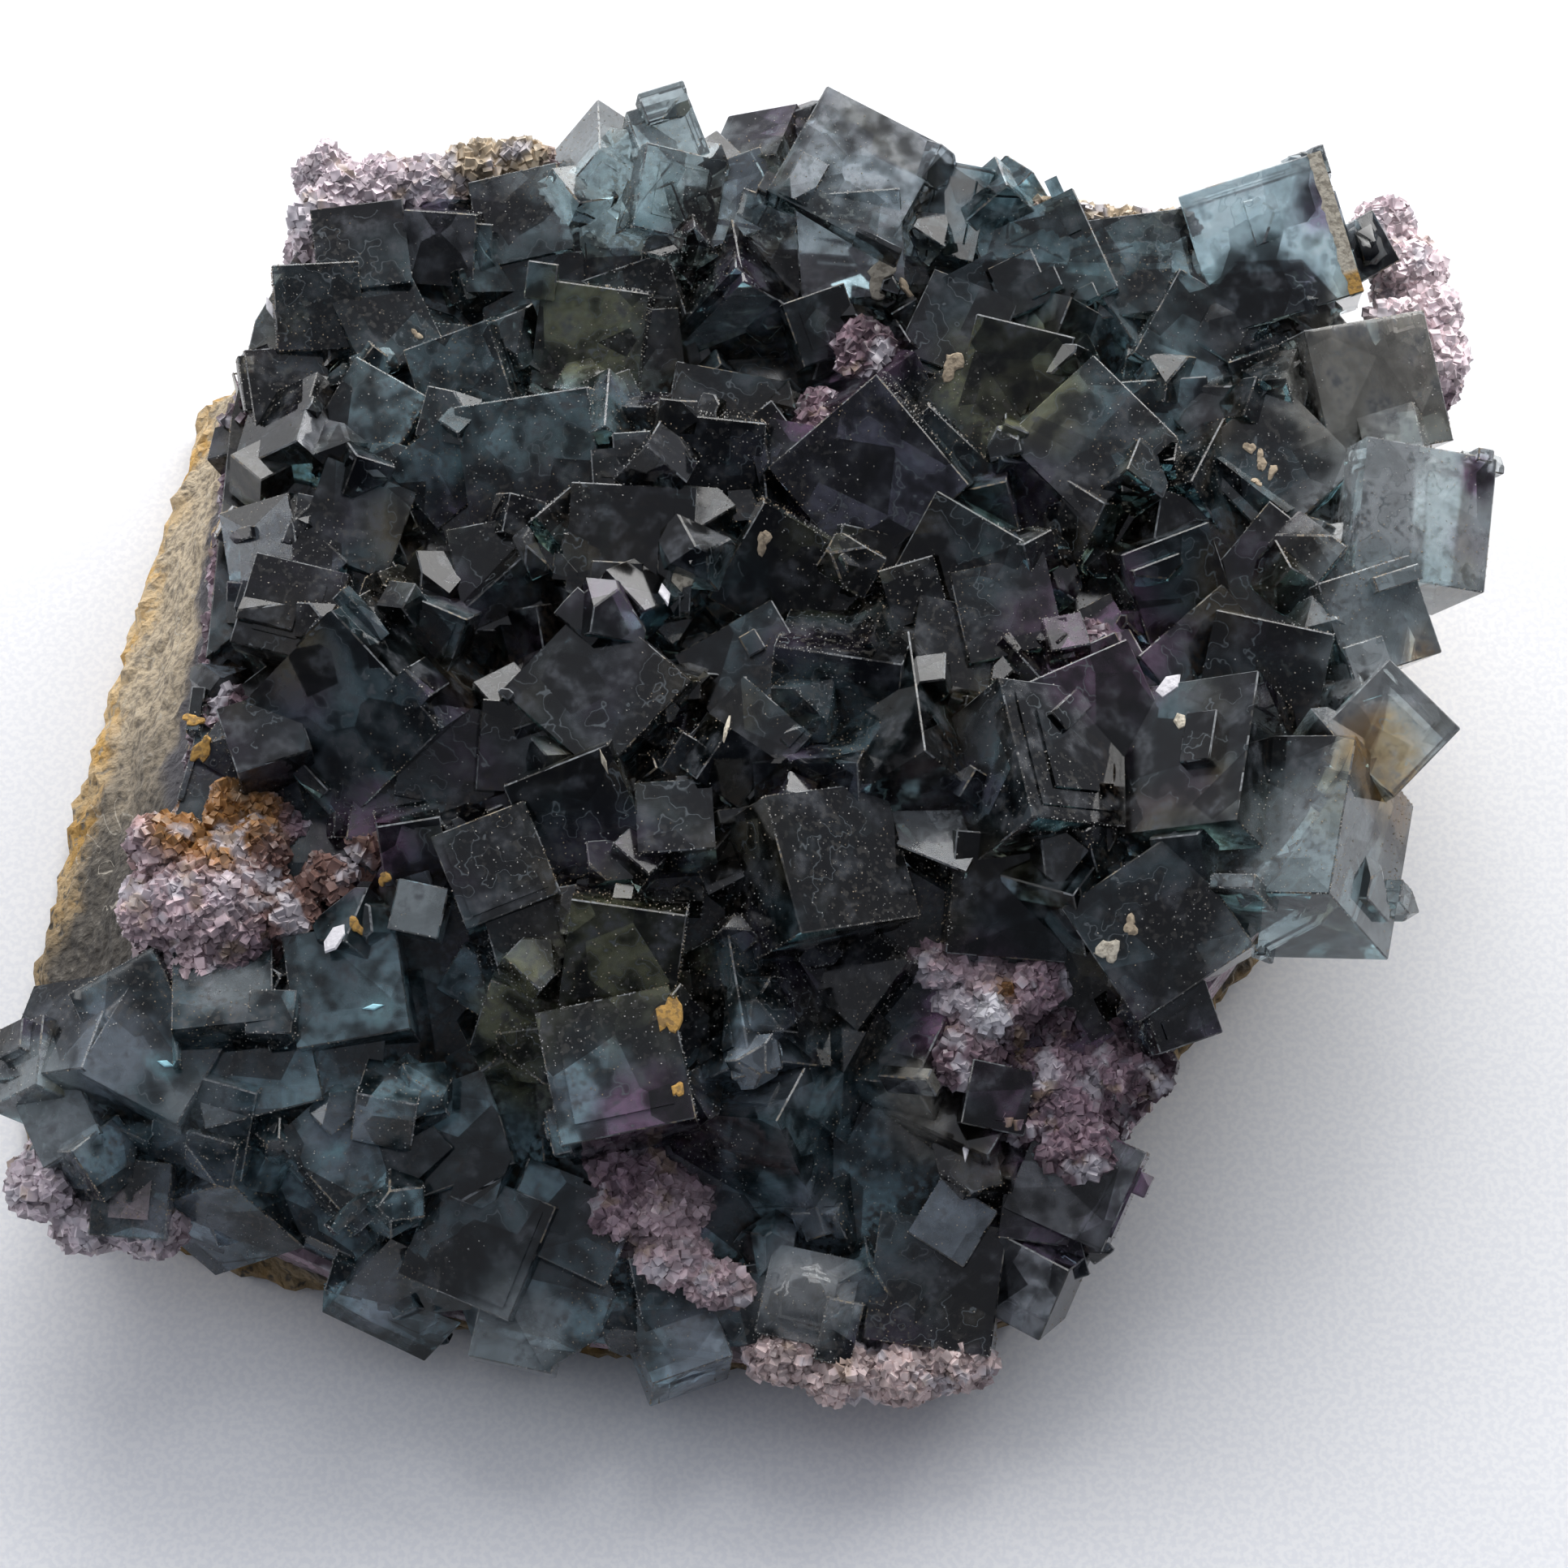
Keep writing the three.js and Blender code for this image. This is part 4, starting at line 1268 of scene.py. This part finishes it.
@dataclass
class PurpleLayer:
    """The granular layer between the rock and the large crystals."""

    finish: DruseFinish = field(default_factory=DruseFinish)
    edge: float = 1.0
    swell: float = 0.35
    relief: float = 0.5
    rounds: int = 4
    druse: DruseGrowth = DruseGrowth(4.6, 0.2, 0.75, 1.0, 11)

    def build(self, cover: BVHTree) -> list[bpy.types.Object]:
        """Copy the layer, roughen it, and grow its druse where no crystal covers it.

        Args:
            cover: the crystals, to find what they cover.

        Returns:
            The layer and its druse.
        """
        mesh = merged_copy("purple_layer")

        def uncovered(point: Vector) -> bool:
            """Say whether nothing lies straight above a point."""
            return cover.ray_cast(point + UP * 0.3 * MM, UP)[0] is None

        refine(mesh, self.edge * MM, self.rounds, uncovered)
        mesh.normal_update()
        for vertex in mesh.verts:
            rough = noise.fractal(vertex.co / (1.3 * MM), 1.0, 2.0, 3)
            vertex.co += vertex.normal * MM * (self.swell + self.relief * rough)
        opened = [float(uncovered(vertex.co) and vertex.normal.z > -0.3) for vertex in mesh.verts]
        material = self.finish.material()
        piece = finished(mesh, "purple_bed", material)
        points = points_of(piece.data)
        tones = tinted(points, (self.finish.deep, self.finish.purple), self.finish.patches)
        carry(piece.data, "tone", tones)
        carry(piece.data, "open", np.array(opened))
        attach(piece, ROOT)
        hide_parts("purple_layer")
        tell(piece)
        druse = self.druse.grow(piece.data, "purple_druse", material)
        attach(druse, ROOT)
        tell(druse)
        return [piece, druse, *DruseMounds().build(self.finish, material)]


@dataclass(frozen=True)
class Mound:
    """A mound of druse, in millimetres: its middle and its half axes."""

    x: float
    y: float
    z: float
    wide: float
    deep: float
    tall: float


MOUNDS = (
    Mound(-35.6, 43.6, 27.8, 1.9, 2.2, 2.0),
    Mound(-34.0, 46.2, 27.6, 2.2, 2.3, 2.2),
    Mound(-30.6, 47.0, 27.2, 3.0, 2.3, 2.2),
    Mound(-27.0, 47.0, 27.4, 3.0, 2.3, 2.2),
    Mound(-23.4, 48.2, 27.8, 2.8, 1.9, 2.2),
    Mound(-20.0, 48.6, 28.2, 2.4, 1.6, 2.0),
    Mound(46.3, 44.6, 24.2, 2.4, 2.6, 2.8),
    Mound(48.0, 41.0, 24.2, 2.6, 2.8, 2.9),
    Mound(49.2, 37.0, 24.2, 2.3, 2.7, 2.8),
    Mound(49.8, 33.6, 23.6, 2.0, 2.3, 2.6),
    Mound(-43.4, -9.2, 26.4, 2.4, 2.1, 2.0),
    Mound(-37.2, -9.6, 25.6, 2.3, 2.0, 1.8),
    Mound(-44.6, -13.4, 24.4, 1.8, 2.4, 2.2),
    Mound(-41.0, -17.4, 22.6, 2.4, 1.8, 1.9),
    Mound(-30.4, -10.6, 23.2, 1.6, 1.6, 1.5),
    Mound(-28.6, -8.0, 23.6, 1.4, 1.4, 1.4),
    Mound(11.0, -16.0, 21.0, 2.3, 1.8, 1.4),
    Mound(17.8, -17.0, 20.6, 2.2, 2.2, 1.5),
    Mound(12.6, -22.4, 19.0, 2.6, 2.4, 1.6),
    Mound(18.2, -23.6, 17.6, 2.8, 2.4, 1.6),
    Mound(20.6, -28.2, 16.4, 2.9, 2.2, 1.6),
    Mound(25.0, -23.0, 18.4, 2.4, 2.2, 1.4),
    Mound(-11.6, -28.6, 14.0, 2.3, 2.3, 1.7),
    Mound(-12.0, -31.6, 13.2, 1.9, 2.0, 1.5),
    Mound(-8.0, -34.6, 11.8, 2.6, 2.0, 1.6),
    Mound(-4.4, -36.4, 11.2, 2.4, 1.6, 1.5),
    Mound(0.0, -40.9, 8.8, 2.6, 1.6, 2.2),
    Mound(4.0, -41.8, 8.2, 2.8, 1.8, 2.4),
    Mound(8.4, -42.0, 8.2, 2.8, 1.8, 2.4),
    Mound(12.4, -41.3, 8.6, 2.4, 1.6, 2.2),
    Mound(-52.2, -30.2, 14.2, 2.3, 2.2, 2.6),
    Mound(-48.6, -32.2, 12.2, 2.8, 1.9, 2.4),
    Mound(-44.6, -32.8, 12.6, 2.4, 1.7, 2.4),
    Mound(19.6, 42.4, 30.0, 1.9, 1.1, 1.3),
    Mound(22.8, 42.2, 29.5, 2.2, 1.1, 1.3),
    Mound(26.4, 41.8, 29.4, 2.2, 1.1, 1.3),
    Mound(29.4, 41.4, 29.5, 1.9, 1.0, 1.3),
    Mound(3.0, 25.0, 27.6, 2.2, 2.8, 1.6),
    Mound(6.0, 30.6, 29.0, 2.0, 2.6, 1.6),
    Mound(22.0, 6.0, 27.0, 2.2, 2.2, 1.4),
    Mound(-34.6, -13.8, 24.9, 2.0, 1.9, 1.7),
    Mound(-32.0, -11.4, 25.2, 1.9, 1.7, 1.5),
    Mound(-28.8, -8.8, 25.0, 1.7, 1.5, 1.4),
)


@dataclass
class DruseMounds:
    """Mounds of druse at the rim and in hollows, where the purple layer reaches through the crystals."""

    mounds: tuple[Mound, ...] = MOUNDS
    smoothness: int = 3
    relief: float = 0.45
    druse: DruseGrowth = DruseGrowth(4.6, 0.2, 0.8, 1.0, 17)

    def build(self, finish: DruseFinish, material: bpy.types.Material) -> list[bpy.types.Object]:
        """Make the mounds and grow druse on them.

        Args:
            finish: the finish of the purple layer, for its colours.
            material: its material.

        Returns:
            The mounds and their druse.
        """
        mesh = bmesh.new()
        for mound in self.mounds:
            middle = Vector((mound.x, mound.y, mound.z)) * MM
            made = bmesh.ops.create_icosphere(mesh, subdivisions=self.smoothness, radius=MM)
            for vertex in made["verts"]:
                way = vertex.co / MM
                rough = noise.fractal((middle + vertex.co * mound.wide) / (1.4 * MM), 1.0, 2.0, 3)
                stretched = Vector((way.x * mound.wide, way.y * mound.deep, way.z * mound.tall))
                vertex.co = middle + (stretched + way * self.relief * rough) * MM
        mesh.normal_update()
        bare = np.array([float(vertex.normal.z > -0.2) for vertex in mesh.verts])
        piece = finished(mesh, "druse_mounds", material)
        carry(piece.data, "tone", tinted(points_of(piece.data), (finish.deep, finish.purple), finish.patches))
        carry(piece.data, "open", bare)
        grains = self.druse.grow(piece.data, "mound_druse", material)
        for part in (piece, grains):
            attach(part, ROOT)
            tell(part)
        return [piece, grains]


# The crystals


@dataclass
class CrystalCrust:
    """The intergrown clear cubes."""

    finish: CrystalFinish = field(default_factory=CrystalFinish)
    edge_finish: WornEdgeFinish = field(default_factory=WornEdgeFinish)
    worn_size: float = 2.6
    worn_from: float = 0.09
    worn_edge: float = 0.9
    growth: CrustGrowth = CrustGrowth()
    chamfer: float = 0.10
    chamfer_room: float = 0.3
    sharp: float = 20.0
    flat: float = 0.6
    step_area: float = 14.0
    step_inset: tuple[float, float] = (0.5, 1.6)
    step_rise: tuple[float, float] = (0.10, 0.26)
    step_share: float = 0.7
    ground_edge: float = 2.6
    fine_edge: float = 2.0
    nook_reach: float = 5.0
    nook_rays: int = 14
    seed: int = 8

    def build(self) -> bpy.types.Object:
        """Copy the crystals, grow small ones on them, chamfer their edges and dress them.

        Returns:
            The piece that stands for the crystals.
        """
        material = self.finish.material()
        grown = self.growth.grow(*self._solid_and_ground(), material)
        mesh = bmesh.new()
        mesh.from_mesh(grown)
        self._flatten(mesh)
        self._chamfer(mesh)
        facets = mesh.faces.layers.float.new("facet")
        for face in mesh.faces:
            face[facets] = facet_number(face)
        self._mark(mesh)
        refine(mesh, self.fine_edge * MM, 5, lambda point: True)
        self._wear(mesh)
        mesh.normal_update()
        drop_folds(mesh)
        part_sheets(mesh)
        mesh.normal_update()
        nooks = shelter(mesh, BVHTree.FromBMesh(mesh), self.nook_reach * MM, self.nook_rays)
        piece = finished(mesh, "crystal_crust", material)
        piece.data.materials.append(self.edge_finish.material())
        points = points_of(piece.data)
        tones = tinted(points, self.finish.grounds, self.finish.patches)
        carry(piece.data, "tone", tones)
        # nook: how shut in each point is, where the finish paints soil and shade.
        carry(piece.data, "nook", smooth((np.array(nooks) - 0.35) / 0.5))
        carry(piece.data, "dusty", smooth(noise_at(points, 9.0) * 1.6 + 0.45))
        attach(piece, ROOT)
        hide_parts("fluorite_crystals")
        tell(piece)
        return piece

    def _mark(self, mesh: bmesh.types.BMesh) -> None:
        """Give single facets their own tone, for several of them a painted reflection.

        Args:
            mesh: the chamfered crystals, changed in place.
        """
        layer = mesh.faces.layers.float_color.new("mark")
        cover = BVHTree.FromBMesh(mesh)
        mesh.faces.ensure_lookup_table()
        for face in mesh.faces:
            face[layer] = (0.0, 0.0, 0.0, 0.0)
        for mark in self.finish.marks:
            index = cover.ray_cast(Vector((mark.x * MM, mark.y * MM, 0.1)), -UP)[2]
            if index is not None:
                mesh.faces[index][layer] = (*mark.tone.value, 1.0)

    def _wear(self, mesh: bmesh.types.BMesh) -> None:
        """Give stretches of the chamfers the worn finish.

        Args:
            mesh: the chamfered crystals, changed in place.
        """
        layer = mesh.faces.layers.float["edge"]
        long = [
            edge
            for edge in mesh.edges
            if edge.calc_length() > self.worn_edge * MM and any(face[layer] > 0.5 for face in edge.link_faces)
        ]
        bmesh.ops.subdivide_edges(mesh, edges=long, cuts=1)
        bmesh.ops.triangulate(mesh, faces=mesh.faces)
        for face in mesh.faces:
            if face[layer] > 0.5:
                spot = face.calc_center_median() / (self.worn_size * MM)
                face.material_index = int(noise.fractal(spot, 1.0, 2.0, 3) > self.worn_from)

    def _flatten(self, mesh: bmesh.types.BMesh) -> None:
        """Join the triangles of each flat facet."""
        bmesh.ops.dissolve_limit(
            mesh, angle_limit=math.radians(self.flat), verts=mesh.verts, edges=mesh.edges
        )

    def _solid_and_ground(self) -> tuple[bpy.types.Mesh, bpy.types.Mesh]:
        """Prepare the crystals for growth.

        Returns:
            The solid, and a finer mesh that says where blocks and cubes go, and along which way.
        """
        mesh = merged_copy("fluorite_crystals")
        cover = BVHTree.FromBMesh(mesh)
        self._flatten(mesh)
        self._raise_steps(mesh)
        solid = bpy.data.meshes.new("crust_solid")
        mesh.to_mesh(solid)
        along = mesh.faces.layers.float_vector.new("along")
        block = mesh.faces.layers.float.new("block")
        for face in mesh.faces:
            longest = max(face.edges, key=lambda edge: edge.calc_length())
            face[along] = (longest.verts[1].co - longest.verts[0].co).normalized()
            face[block] = float(face.calc_area() > 3 * MM**2 and face.normal.z > -0.2)
        refine(mesh, self.ground_edge * MM, 5, lambda point: point.z > 5 * MM)
        mesh.normal_update()
        nooks = shelter(mesh, cover, self.nook_reach * MM, self.nook_rays)
        data = bpy.data.meshes.new("crust_ground")
        mesh.to_mesh(data)
        mesh.free()
        carry(data, "nook", smooth((np.array(nooks) - 0.25) / 0.5))
        return solid, data

    def _raise_steps(self, mesh: bmesh.types.BMesh) -> None:
        """Raise growth steps inside large plain facets.

        Args:
            mesh: the crystals, changed in place.
        """
        dice = random.Random(self.seed)
        for face in list(mesh.faces):
            plain = len(face.verts) <= 5 and face.normal.z > -0.3
            if not plain or face.calc_area() < self.step_area * MM**2 or dice.random() > self.step_share:
                continue
            for _ in range(dice.choice((1, 1, 2))):
                bmesh.ops.inset_individual(
                    mesh,
                    faces=[face],
                    thickness=dice.uniform(*self.step_inset) * MM,
                    depth=0.0,
                    use_even_offset=True,
                )
                lift = face.normal * dice.uniform(*self.step_rise) * MM
                raised = bmesh.ops.extrude_discrete_faces(mesh, faces=[face])
                face = raised["faces"][0]
                for vertex in face.verts:
                    vertex.co += lift

    def _chamfer(self, mesh: bmesh.types.BMesh) -> None:
        """Chamfer the outer edges and mark the chamfers.

        Args:
            mesh: the crystals, changed in place.
        """
        layer = mesh.faces.layers.float.new("edge")
        room = self.chamfer_room * MM
        tight = {vertex for edge in mesh.edges if edge.calc_length() < room for vertex in edge.verts}
        edges = [
            edge
            for edge in mesh.edges
            if edge.is_convex
            and edge.calc_face_angle(0.0) > math.radians(self.sharp)
            and tight.isdisjoint(edge.verts)
        ]
        made = bmesh.ops.bevel(
            mesh,
            geom=edges,
            offset=self.chamfer * MM,
            offset_type="OFFSET",
            segments=1,
            profile=0.5,
            affect="EDGES",
            clamp_overlap=False,
        )
        for face in made["faces"]:
            face[layer] = 1.0


# Dust


@dataclass
class DustSpecks:
    """Pale specks that lie on the crystals and gather along their edges."""

    finish: "DustFinish" = field(default_factory=lambda: DustFinish())
    specks: DruseGrowth = DruseGrowth(3.2, 0.02, 0.13, 0.5, 31, True)
    edge_share: float = 9.0
    lowest_slope: float = -0.1

    def build(self, crust: bpy.types.Object) -> bpy.types.Object:
        """Strew the specks over the crystals.

        Args:
            crust: the crystals.

        Returns:
            The specks as one piece.
        """
        mesh = bmesh.new()
        mesh.from_mesh(crust.data)
        edge = mesh.faces.layers.float["edge"]
        dusty = mesh.verts.layers.float["dusty"]
        ground = mesh.faces.layers.float.new("open")
        for face in mesh.faces:
            cover = sum(vertex[dusty] for vertex in face.verts) / len(face.verts)
            share = cover * (1.0 + self.edge_share * face[edge])
            face[ground] = share if face.normal.z > self.lowest_slope else 0.0
        data = bpy.data.meshes.new("dust_ground")
        mesh.to_mesh(data)
        mesh.free()
        piece = self.specks.grow(data, "dust_specks", self.finish.material())
        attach(piece, ROOT)
        tell(piece)
        return piece


# Clay flakes, pale shards that paint glints, and dusty strips


@dataclass(frozen=True)
class Flake:
    """A flake of clay, or a pale shard with straight sides that paints a glint of reflected light, seen from above, in
    millimetres.
    """

    x: float
    y: float
    size: float
    tone: Tone = Tone.TAN
    sides: int = 0
    slim: float = 0.5
    turn: float = 0.0


FLAKES = (
    Flake(22.5, -17.5, 1.2, Tone.CREAM),
    Flake(-29, 29, 0.9),
    Flake(-27.5, 32.5, 0.6),
    Flake(7.3, 37.3, 1.7, Tone.CREAM),
    Flake(9.2, 36.6, 1.1),
    Flake(12.5, 29, 1.2),
    Flake(-7.5, 9.5, 1.2, Tone.CREAM),
    Flake(-2.5, 8.5, 1.5, Tone.CREAM),
    Flake(-8, -22, 1.9, Tone.OCHRE),
    Flake(-7.3, -27, 0.8, Tone.OCHRE),
    Flake(35, 21, 1.0),
    Flake(34.2, 22, 0.6),
    Flake(35.8, 20.2, 0.7),
    Flake(34.6, 19.4, 0.8),
    Flake(-29.6, -16, 0.9, Tone.OCHRE),
    Flake(-27.8, -12.5, 0.7, Tone.OCHRE),
    Flake(24, -16, 0.8),
    Flake(-1.5, 13, 1.0),
    Flake(-41.5, -1.5, 1.5, Tone.OCHRE),
    Flake(-42.3, 1.0, 1.1, Tone.OCHRE),
    # Each flake below that has sides is a pale shard that paints a glint of reflected light: painted highlights.
    Flake(27.3, 2.0, 1.3, Tone.WHITE, 5, 0.7, 0.8),
    Flake(27.9, -1.3, 0.9, Tone.CREAM, 5, 0.6, 2.0),
    Flake(-42.8, -24.4, 0.7, Tone.CYAN, 4, 0.4, 0.9),
    Flake(-28.4, -20.9, 0.9, Tone.CYAN, 4, 0.3, 1.9),
    Flake(-34.4, -14.6, 0.5, Tone.OLIVE),
    Flake(-32.6, -13.4, 0.4, Tone.OCHRE),
    Flake(-31.1, -16.8, 1.35, Tone.WHITE, 6, 0.7, 1.2),
    Flake(-36.6, -5.6, 0.9, Tone.WHITE, 4, 0.5, 0.5),
    Flake(-39.2, 37.4, 1.2, Tone.WHITE, 4, 0.3, 1.9),
    Flake(-8.5, 8.2, 1.2, Tone.WHITE, 4, 0.45, 1.2),
    Flake(12.7, -28.7, 1.1, Tone.WHITE, 4, 0.25, 2.2),
    Flake(-12.5, -5.5, 1.1, Tone.CREAM, 4, 0.2, 0.4),
    Flake(-4.0, -3.0, 1.2, Tone.CREAM, 4, 0.2, 1.7),
)


@dataclass(frozen=True)
class Strip:
    """Two dusty bands that meet along a crystal's edge, in millimetres."""

    start: tuple[float, float, float]
    end: tuple[float, float, float]
    faces: tuple[tuple[float, float, float], tuple[float, float, float]]
    widths: tuple[float, float]
    tone: Tone = Tone.CREAM
    end_tone: Tone = Tone.OCHRE
    end_share: float = 0.85


STRIPS = (
    Strip((39.9, 43.8, 36.1), (43.1, 34.4, 31.5), ((-0.1, -0.47, 0.88), (0.95, 0.21, 0.23)), (1.1, 1.4)),
)


@dataclass
class ClayFilm:
    """Flakes of clay, pale shards that paint glints of reflected light, and dusty strips that lie on the crystals."""

    finish: ClayFinish = field(default_factory=ClayFinish)
    flakes: tuple[Flake, ...] = FLAKES
    strips: tuple[Strip, ...] = STRIPS
    thick: float = 0.14
    strip_thick: float = 0.07
    strip_cuts: int = 24
    corners: int = 19
    seed: int = 5

    def build(self, cover: BVHTree) -> bpy.types.Object:
        """Lay each flake and strip on the crystal under it.

        Args:
            cover: the crystals.

        Returns:
            The flakes and strips as one piece.
        """
        dice = random.Random(self.seed)
        mesh = bmesh.new()
        tones: list[Colour] = []
        for flake in self.flakes:
            start = Vector((flake.x * MM, flake.y * MM, 0.1))
            spot, normal, _, _ = cover.ray_cast(start, -UP)
            if spot is not None:
                self._add_flake(mesh, spot, normal, flake, dice)
                tones += [flake.tone.value] * (len(mesh.verts) - len(tones))
        for strip in self.strips:
            self._add_strip(mesh, strip, tones, dice)
        bmesh.ops.recalc_face_normals(mesh, faces=mesh.faces)
        piece = finished(mesh, "clay_flakes", self.finish.material())
        carry(piece.data, "tone", np.array(tones))
        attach(piece, ROOT)
        tell(piece)
        return piece

    def _add_strip(self, mesh: bmesh.types.BMesh, strip: Strip, tones: list[Colour], dice: random.Random) -> None:
        """Add the two bands of a strip, each a thin closed slab with a ragged inner side.

        Args:
            mesh: the mesh they are added to.
            strip: the strip.
            tones: each vertex's colour, added to.
            dice: the random numbers.
        """
        start, end = Vector(strip.start) * MM, Vector(strip.end) * MM
        first, second = (Vector(face).normalized() for face in strip.faces)
        for out, away, width in ((first, second, strip.widths[0]), (second, first, strip.widths[1])):
            rows = []
            for cut in range(self.strip_cuts + 1):
                share = cut / self.strip_cuts
                base = start.lerp(end, share)
                inner = base - away * width * MM * dice.uniform(0.82, 1.06)
                lift = out * self.strip_thick * MM
                rows.append([mesh.verts.new(point) for point in (base - lift, inner - lift, inner + lift, base + lift)])
                tone = strip.end_tone if share > strip.end_share else strip.tone
                tones += [tone.value] * 4
            for low, high in zip(rows, rows[1:]):
                for index in range(4):
                    after = (index + 1) % 4
                    mesh.faces.new((low[index], low[after], high[after], high[index]))
            mesh.faces.new(rows[0])
            mesh.faces.new(rows[-1])

    def _add_flake(
        self, mesh: bmesh.types.BMesh, spot: Vector, normal: Vector, flake: Flake, dice: random.Random
    ) -> None:
        """Add one flake with a ragged outline, or one shard that paints a glint.

        Args:
            mesh: the mesh it is added to.
            spot: where it lies.
            normal: the face's normal there.
            flake: its size, sides and turn.
            dice: the random numbers.
        """
        turn = normal.to_track_quat("Z", "X").to_matrix()
        size = flake.size * MM
        if flake.sides:
            slim = flake.slim
            turn = turn @ Matrix.Rotation(flake.turn, 3, "Z")
            reach = [size * dice.uniform(0.85, 1.0) for _ in range(flake.sides)]
        else:
            slim, phase = dice.uniform(0.4, 0.9), dice.uniform(0, math.tau)
            reach = []
            for corner in range(self.corners):
                angle = math.tau * corner / self.corners
                lobes = 0.22 * math.sin(2 * angle + phase) + 0.16 * math.sin(3 * angle + 2 * phase)
                reach.append(size * (0.8 + lobes + dice.uniform(-0.1, 0.1)))
        rings = []
        for lift, share in ((-0.5, 1.0), (0.6, 0.92), (1.0, 0.6)):
            ring = []
            for corner, radius in enumerate(reach):
                angle = math.tau * corner / len(reach)
                local = Vector((math.cos(angle), slim * math.sin(angle), 0)) * radius * share
                local.z = lift * self.thick * MM
                ring.append(mesh.verts.new(spot + turn @ local))
            rings.append(ring)
        for low, high in zip(rings, rings[1:]):
            for index in range(len(reach)):
                after = (index + 1) % len(reach)
                mesh.faces.new((low[index], low[after], high[after], high[index]))
        mesh.faces.new(rings[-1])
        mesh.faces.new(list(reversed(rings[0])))


# The studio


@dataclass(frozen=True)
class SoftLight:
    """A large soft light that the camera doesn't see."""

    name: str
    place: tuple[float, float, float]
    width: float
    height: float
    power: float
    colour: Colour = (1.0, 1.0, 1.0)


@dataclass
class Studio:
    """Camera, floor, lights and world."""

    eye: tuple[float, float, float] = (0.0, -0.13145, 0.26522)
    target: tuple[float, float, float] = (0.0, 0.0, 0.018)
    lens: float = 87.69
    sensor: float = 36.0
    floor_half: float = 1.6
    bounces: int = 5
    dim: Colour = (0.07, 0.08, 0.11)
    bright: Colour = (0.76, 0.79, 0.88)
    bright_side: tuple[float, float, float] = (-0.2, 0.9, 0.5)
    lights: tuple[SoftLight, ...] = (
        SoftLight("window", (0.16, 0.56, 0.32), 0.90, 0.50, 8.4, (1.0, 0.99, 0.97)),
        SoftLight("overhead", (0.034, 0.328, 0.572), 0.20, 0.16, 0.50),
        SoftLight("left_panel", (-0.52, 0.09, 0.28), 0.26, 0.20, 0.60),
    )
    finish: FloorFinish = field(default_factory=FloorFinish)

    def build(self) -> None:
        """Make the camera, the floor, the lights and the world."""
        self._camera()
        self._floor()
        for light in self.lights:
            self._light(light)
        self._world()

    def _camera(self) -> None:
        """Place the camera at the photograph's angle."""
        data = bpy.data.cameras.new("camera")
        data.lens = self.lens
        data.sensor_width = self.sensor
        data.clip_start = 0.01
        data.clip_end = 20.0
        camera = bpy.data.objects.new("camera", data)
        camera.location = self.eye
        look = Vector(self.target) - Vector(self.eye)
        camera.rotation_euler = look.to_track_quat("-Z", "Y").to_euler()
        bpy.context.scene.collection.objects.link(camera)
        bpy.context.scene.camera = camera

    def _floor(self) -> None:
        """Lay the pale sheet under the specimen."""
        mesh = bmesh.new()
        bmesh.ops.create_grid(mesh, x_segments=1, y_segments=1, size=self.floor_half)
        floor = finished(mesh, "floor", self.finish.material())

    def _light(self, light: SoftLight) -> None:
        """Hang one soft light and aim it at the specimen.

        Args:
            light: its place, size and power.
        """
        data = bpy.data.lights.new(light.name, "AREA")
        data.shape = "RECTANGLE"
        data.size = light.width
        data.size_y = light.height
        data.energy = light.power
        data.color = light.colour
        lamp = bpy.data.objects.new(light.name, data)
        lamp.location = light.place
        aim = Vector(self.target) - Vector(light.place)
        lamp.rotation_euler = aim.to_track_quat("-Z", "Y").to_euler()
        lamp.visible_camera = False
        bpy.context.scene.collection.objects.link(lamp)

    def _world(self) -> None:
        """Give the room a dim even light and the picture a plain tone curve."""
        world = bpy.data.worlds.new("room")
        world.use_nodes = True
        sheet = NodeSheet(world.node_tree)
        way = sheet.add("ShaderNodeTexCoord").outputs["Generated"]
        lean = sheet.add("ShaderNodeVectorMath", operation="DOT_PRODUCT")
        sheet.feed(lean.inputs[0], way)
        sheet.feed(lean.inputs[1], tuple(Vector(self.bright_side).normalized()))
        share = sheet.add("ShaderNodeMapRange", interpolation_type="SMOOTHSTEP")
        sheet.feed(share.inputs[0], lean.outputs["Value"])
        sheet.feed(share.inputs[1], -0.6)
        blend = sheet.add("ShaderNodeMix", data_type="RGBA")
        sheet.feed(blend.inputs[0], share.outputs[0])
        sheet.feed(blend.inputs[6], self.dim)
        sheet.feed(blend.inputs[7], self.bright)
        sky = sheet.add("ShaderNodeBackground")
        sheet.feed(sky.inputs["Color"], blend.outputs[2])
        output = sheet.add("ShaderNodeOutputWorld")
        sheet.feed(output.inputs["Surface"], sky.outputs[0])
        scene = bpy.context.scene
        world.cycles.sampling_method = "NONE"
        scene.world = world
        scene.view_settings.view_transform = "Standard"
        scene.cycles.use_denoising = True
        scene.cycles.max_bounces = self.bounces
        scene.cycles.transmission_bounces = self.bounces
        scene.cycles.diffuse_bounces = 2
        scene.cycles.glossy_bounces = 3
        scene.cycles.use_light_tree = False
        scene.cycles.caustics_reflective = False


def main() -> None:
    """Build every piece in order."""
    logging.basicConfig(level=logging.INFO, format="%(message)s")
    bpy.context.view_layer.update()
    Studio().build()
    solid = merged_copy("fluorite_crystals")
    cover = BVHTree.FromBMesh(solid)
    solid.free()
    HostRock().build()
    PurpleLayer().build(cover)
    crust = CrystalCrust().build()
    DustSpecks().build(crust)
    grown = bmesh.new()
    grown.from_mesh(crust.data)
    ClayFilm().build(BVHTree.FromBMesh(grown))
    grown.free()


if __name__ == "__main__":
    main()
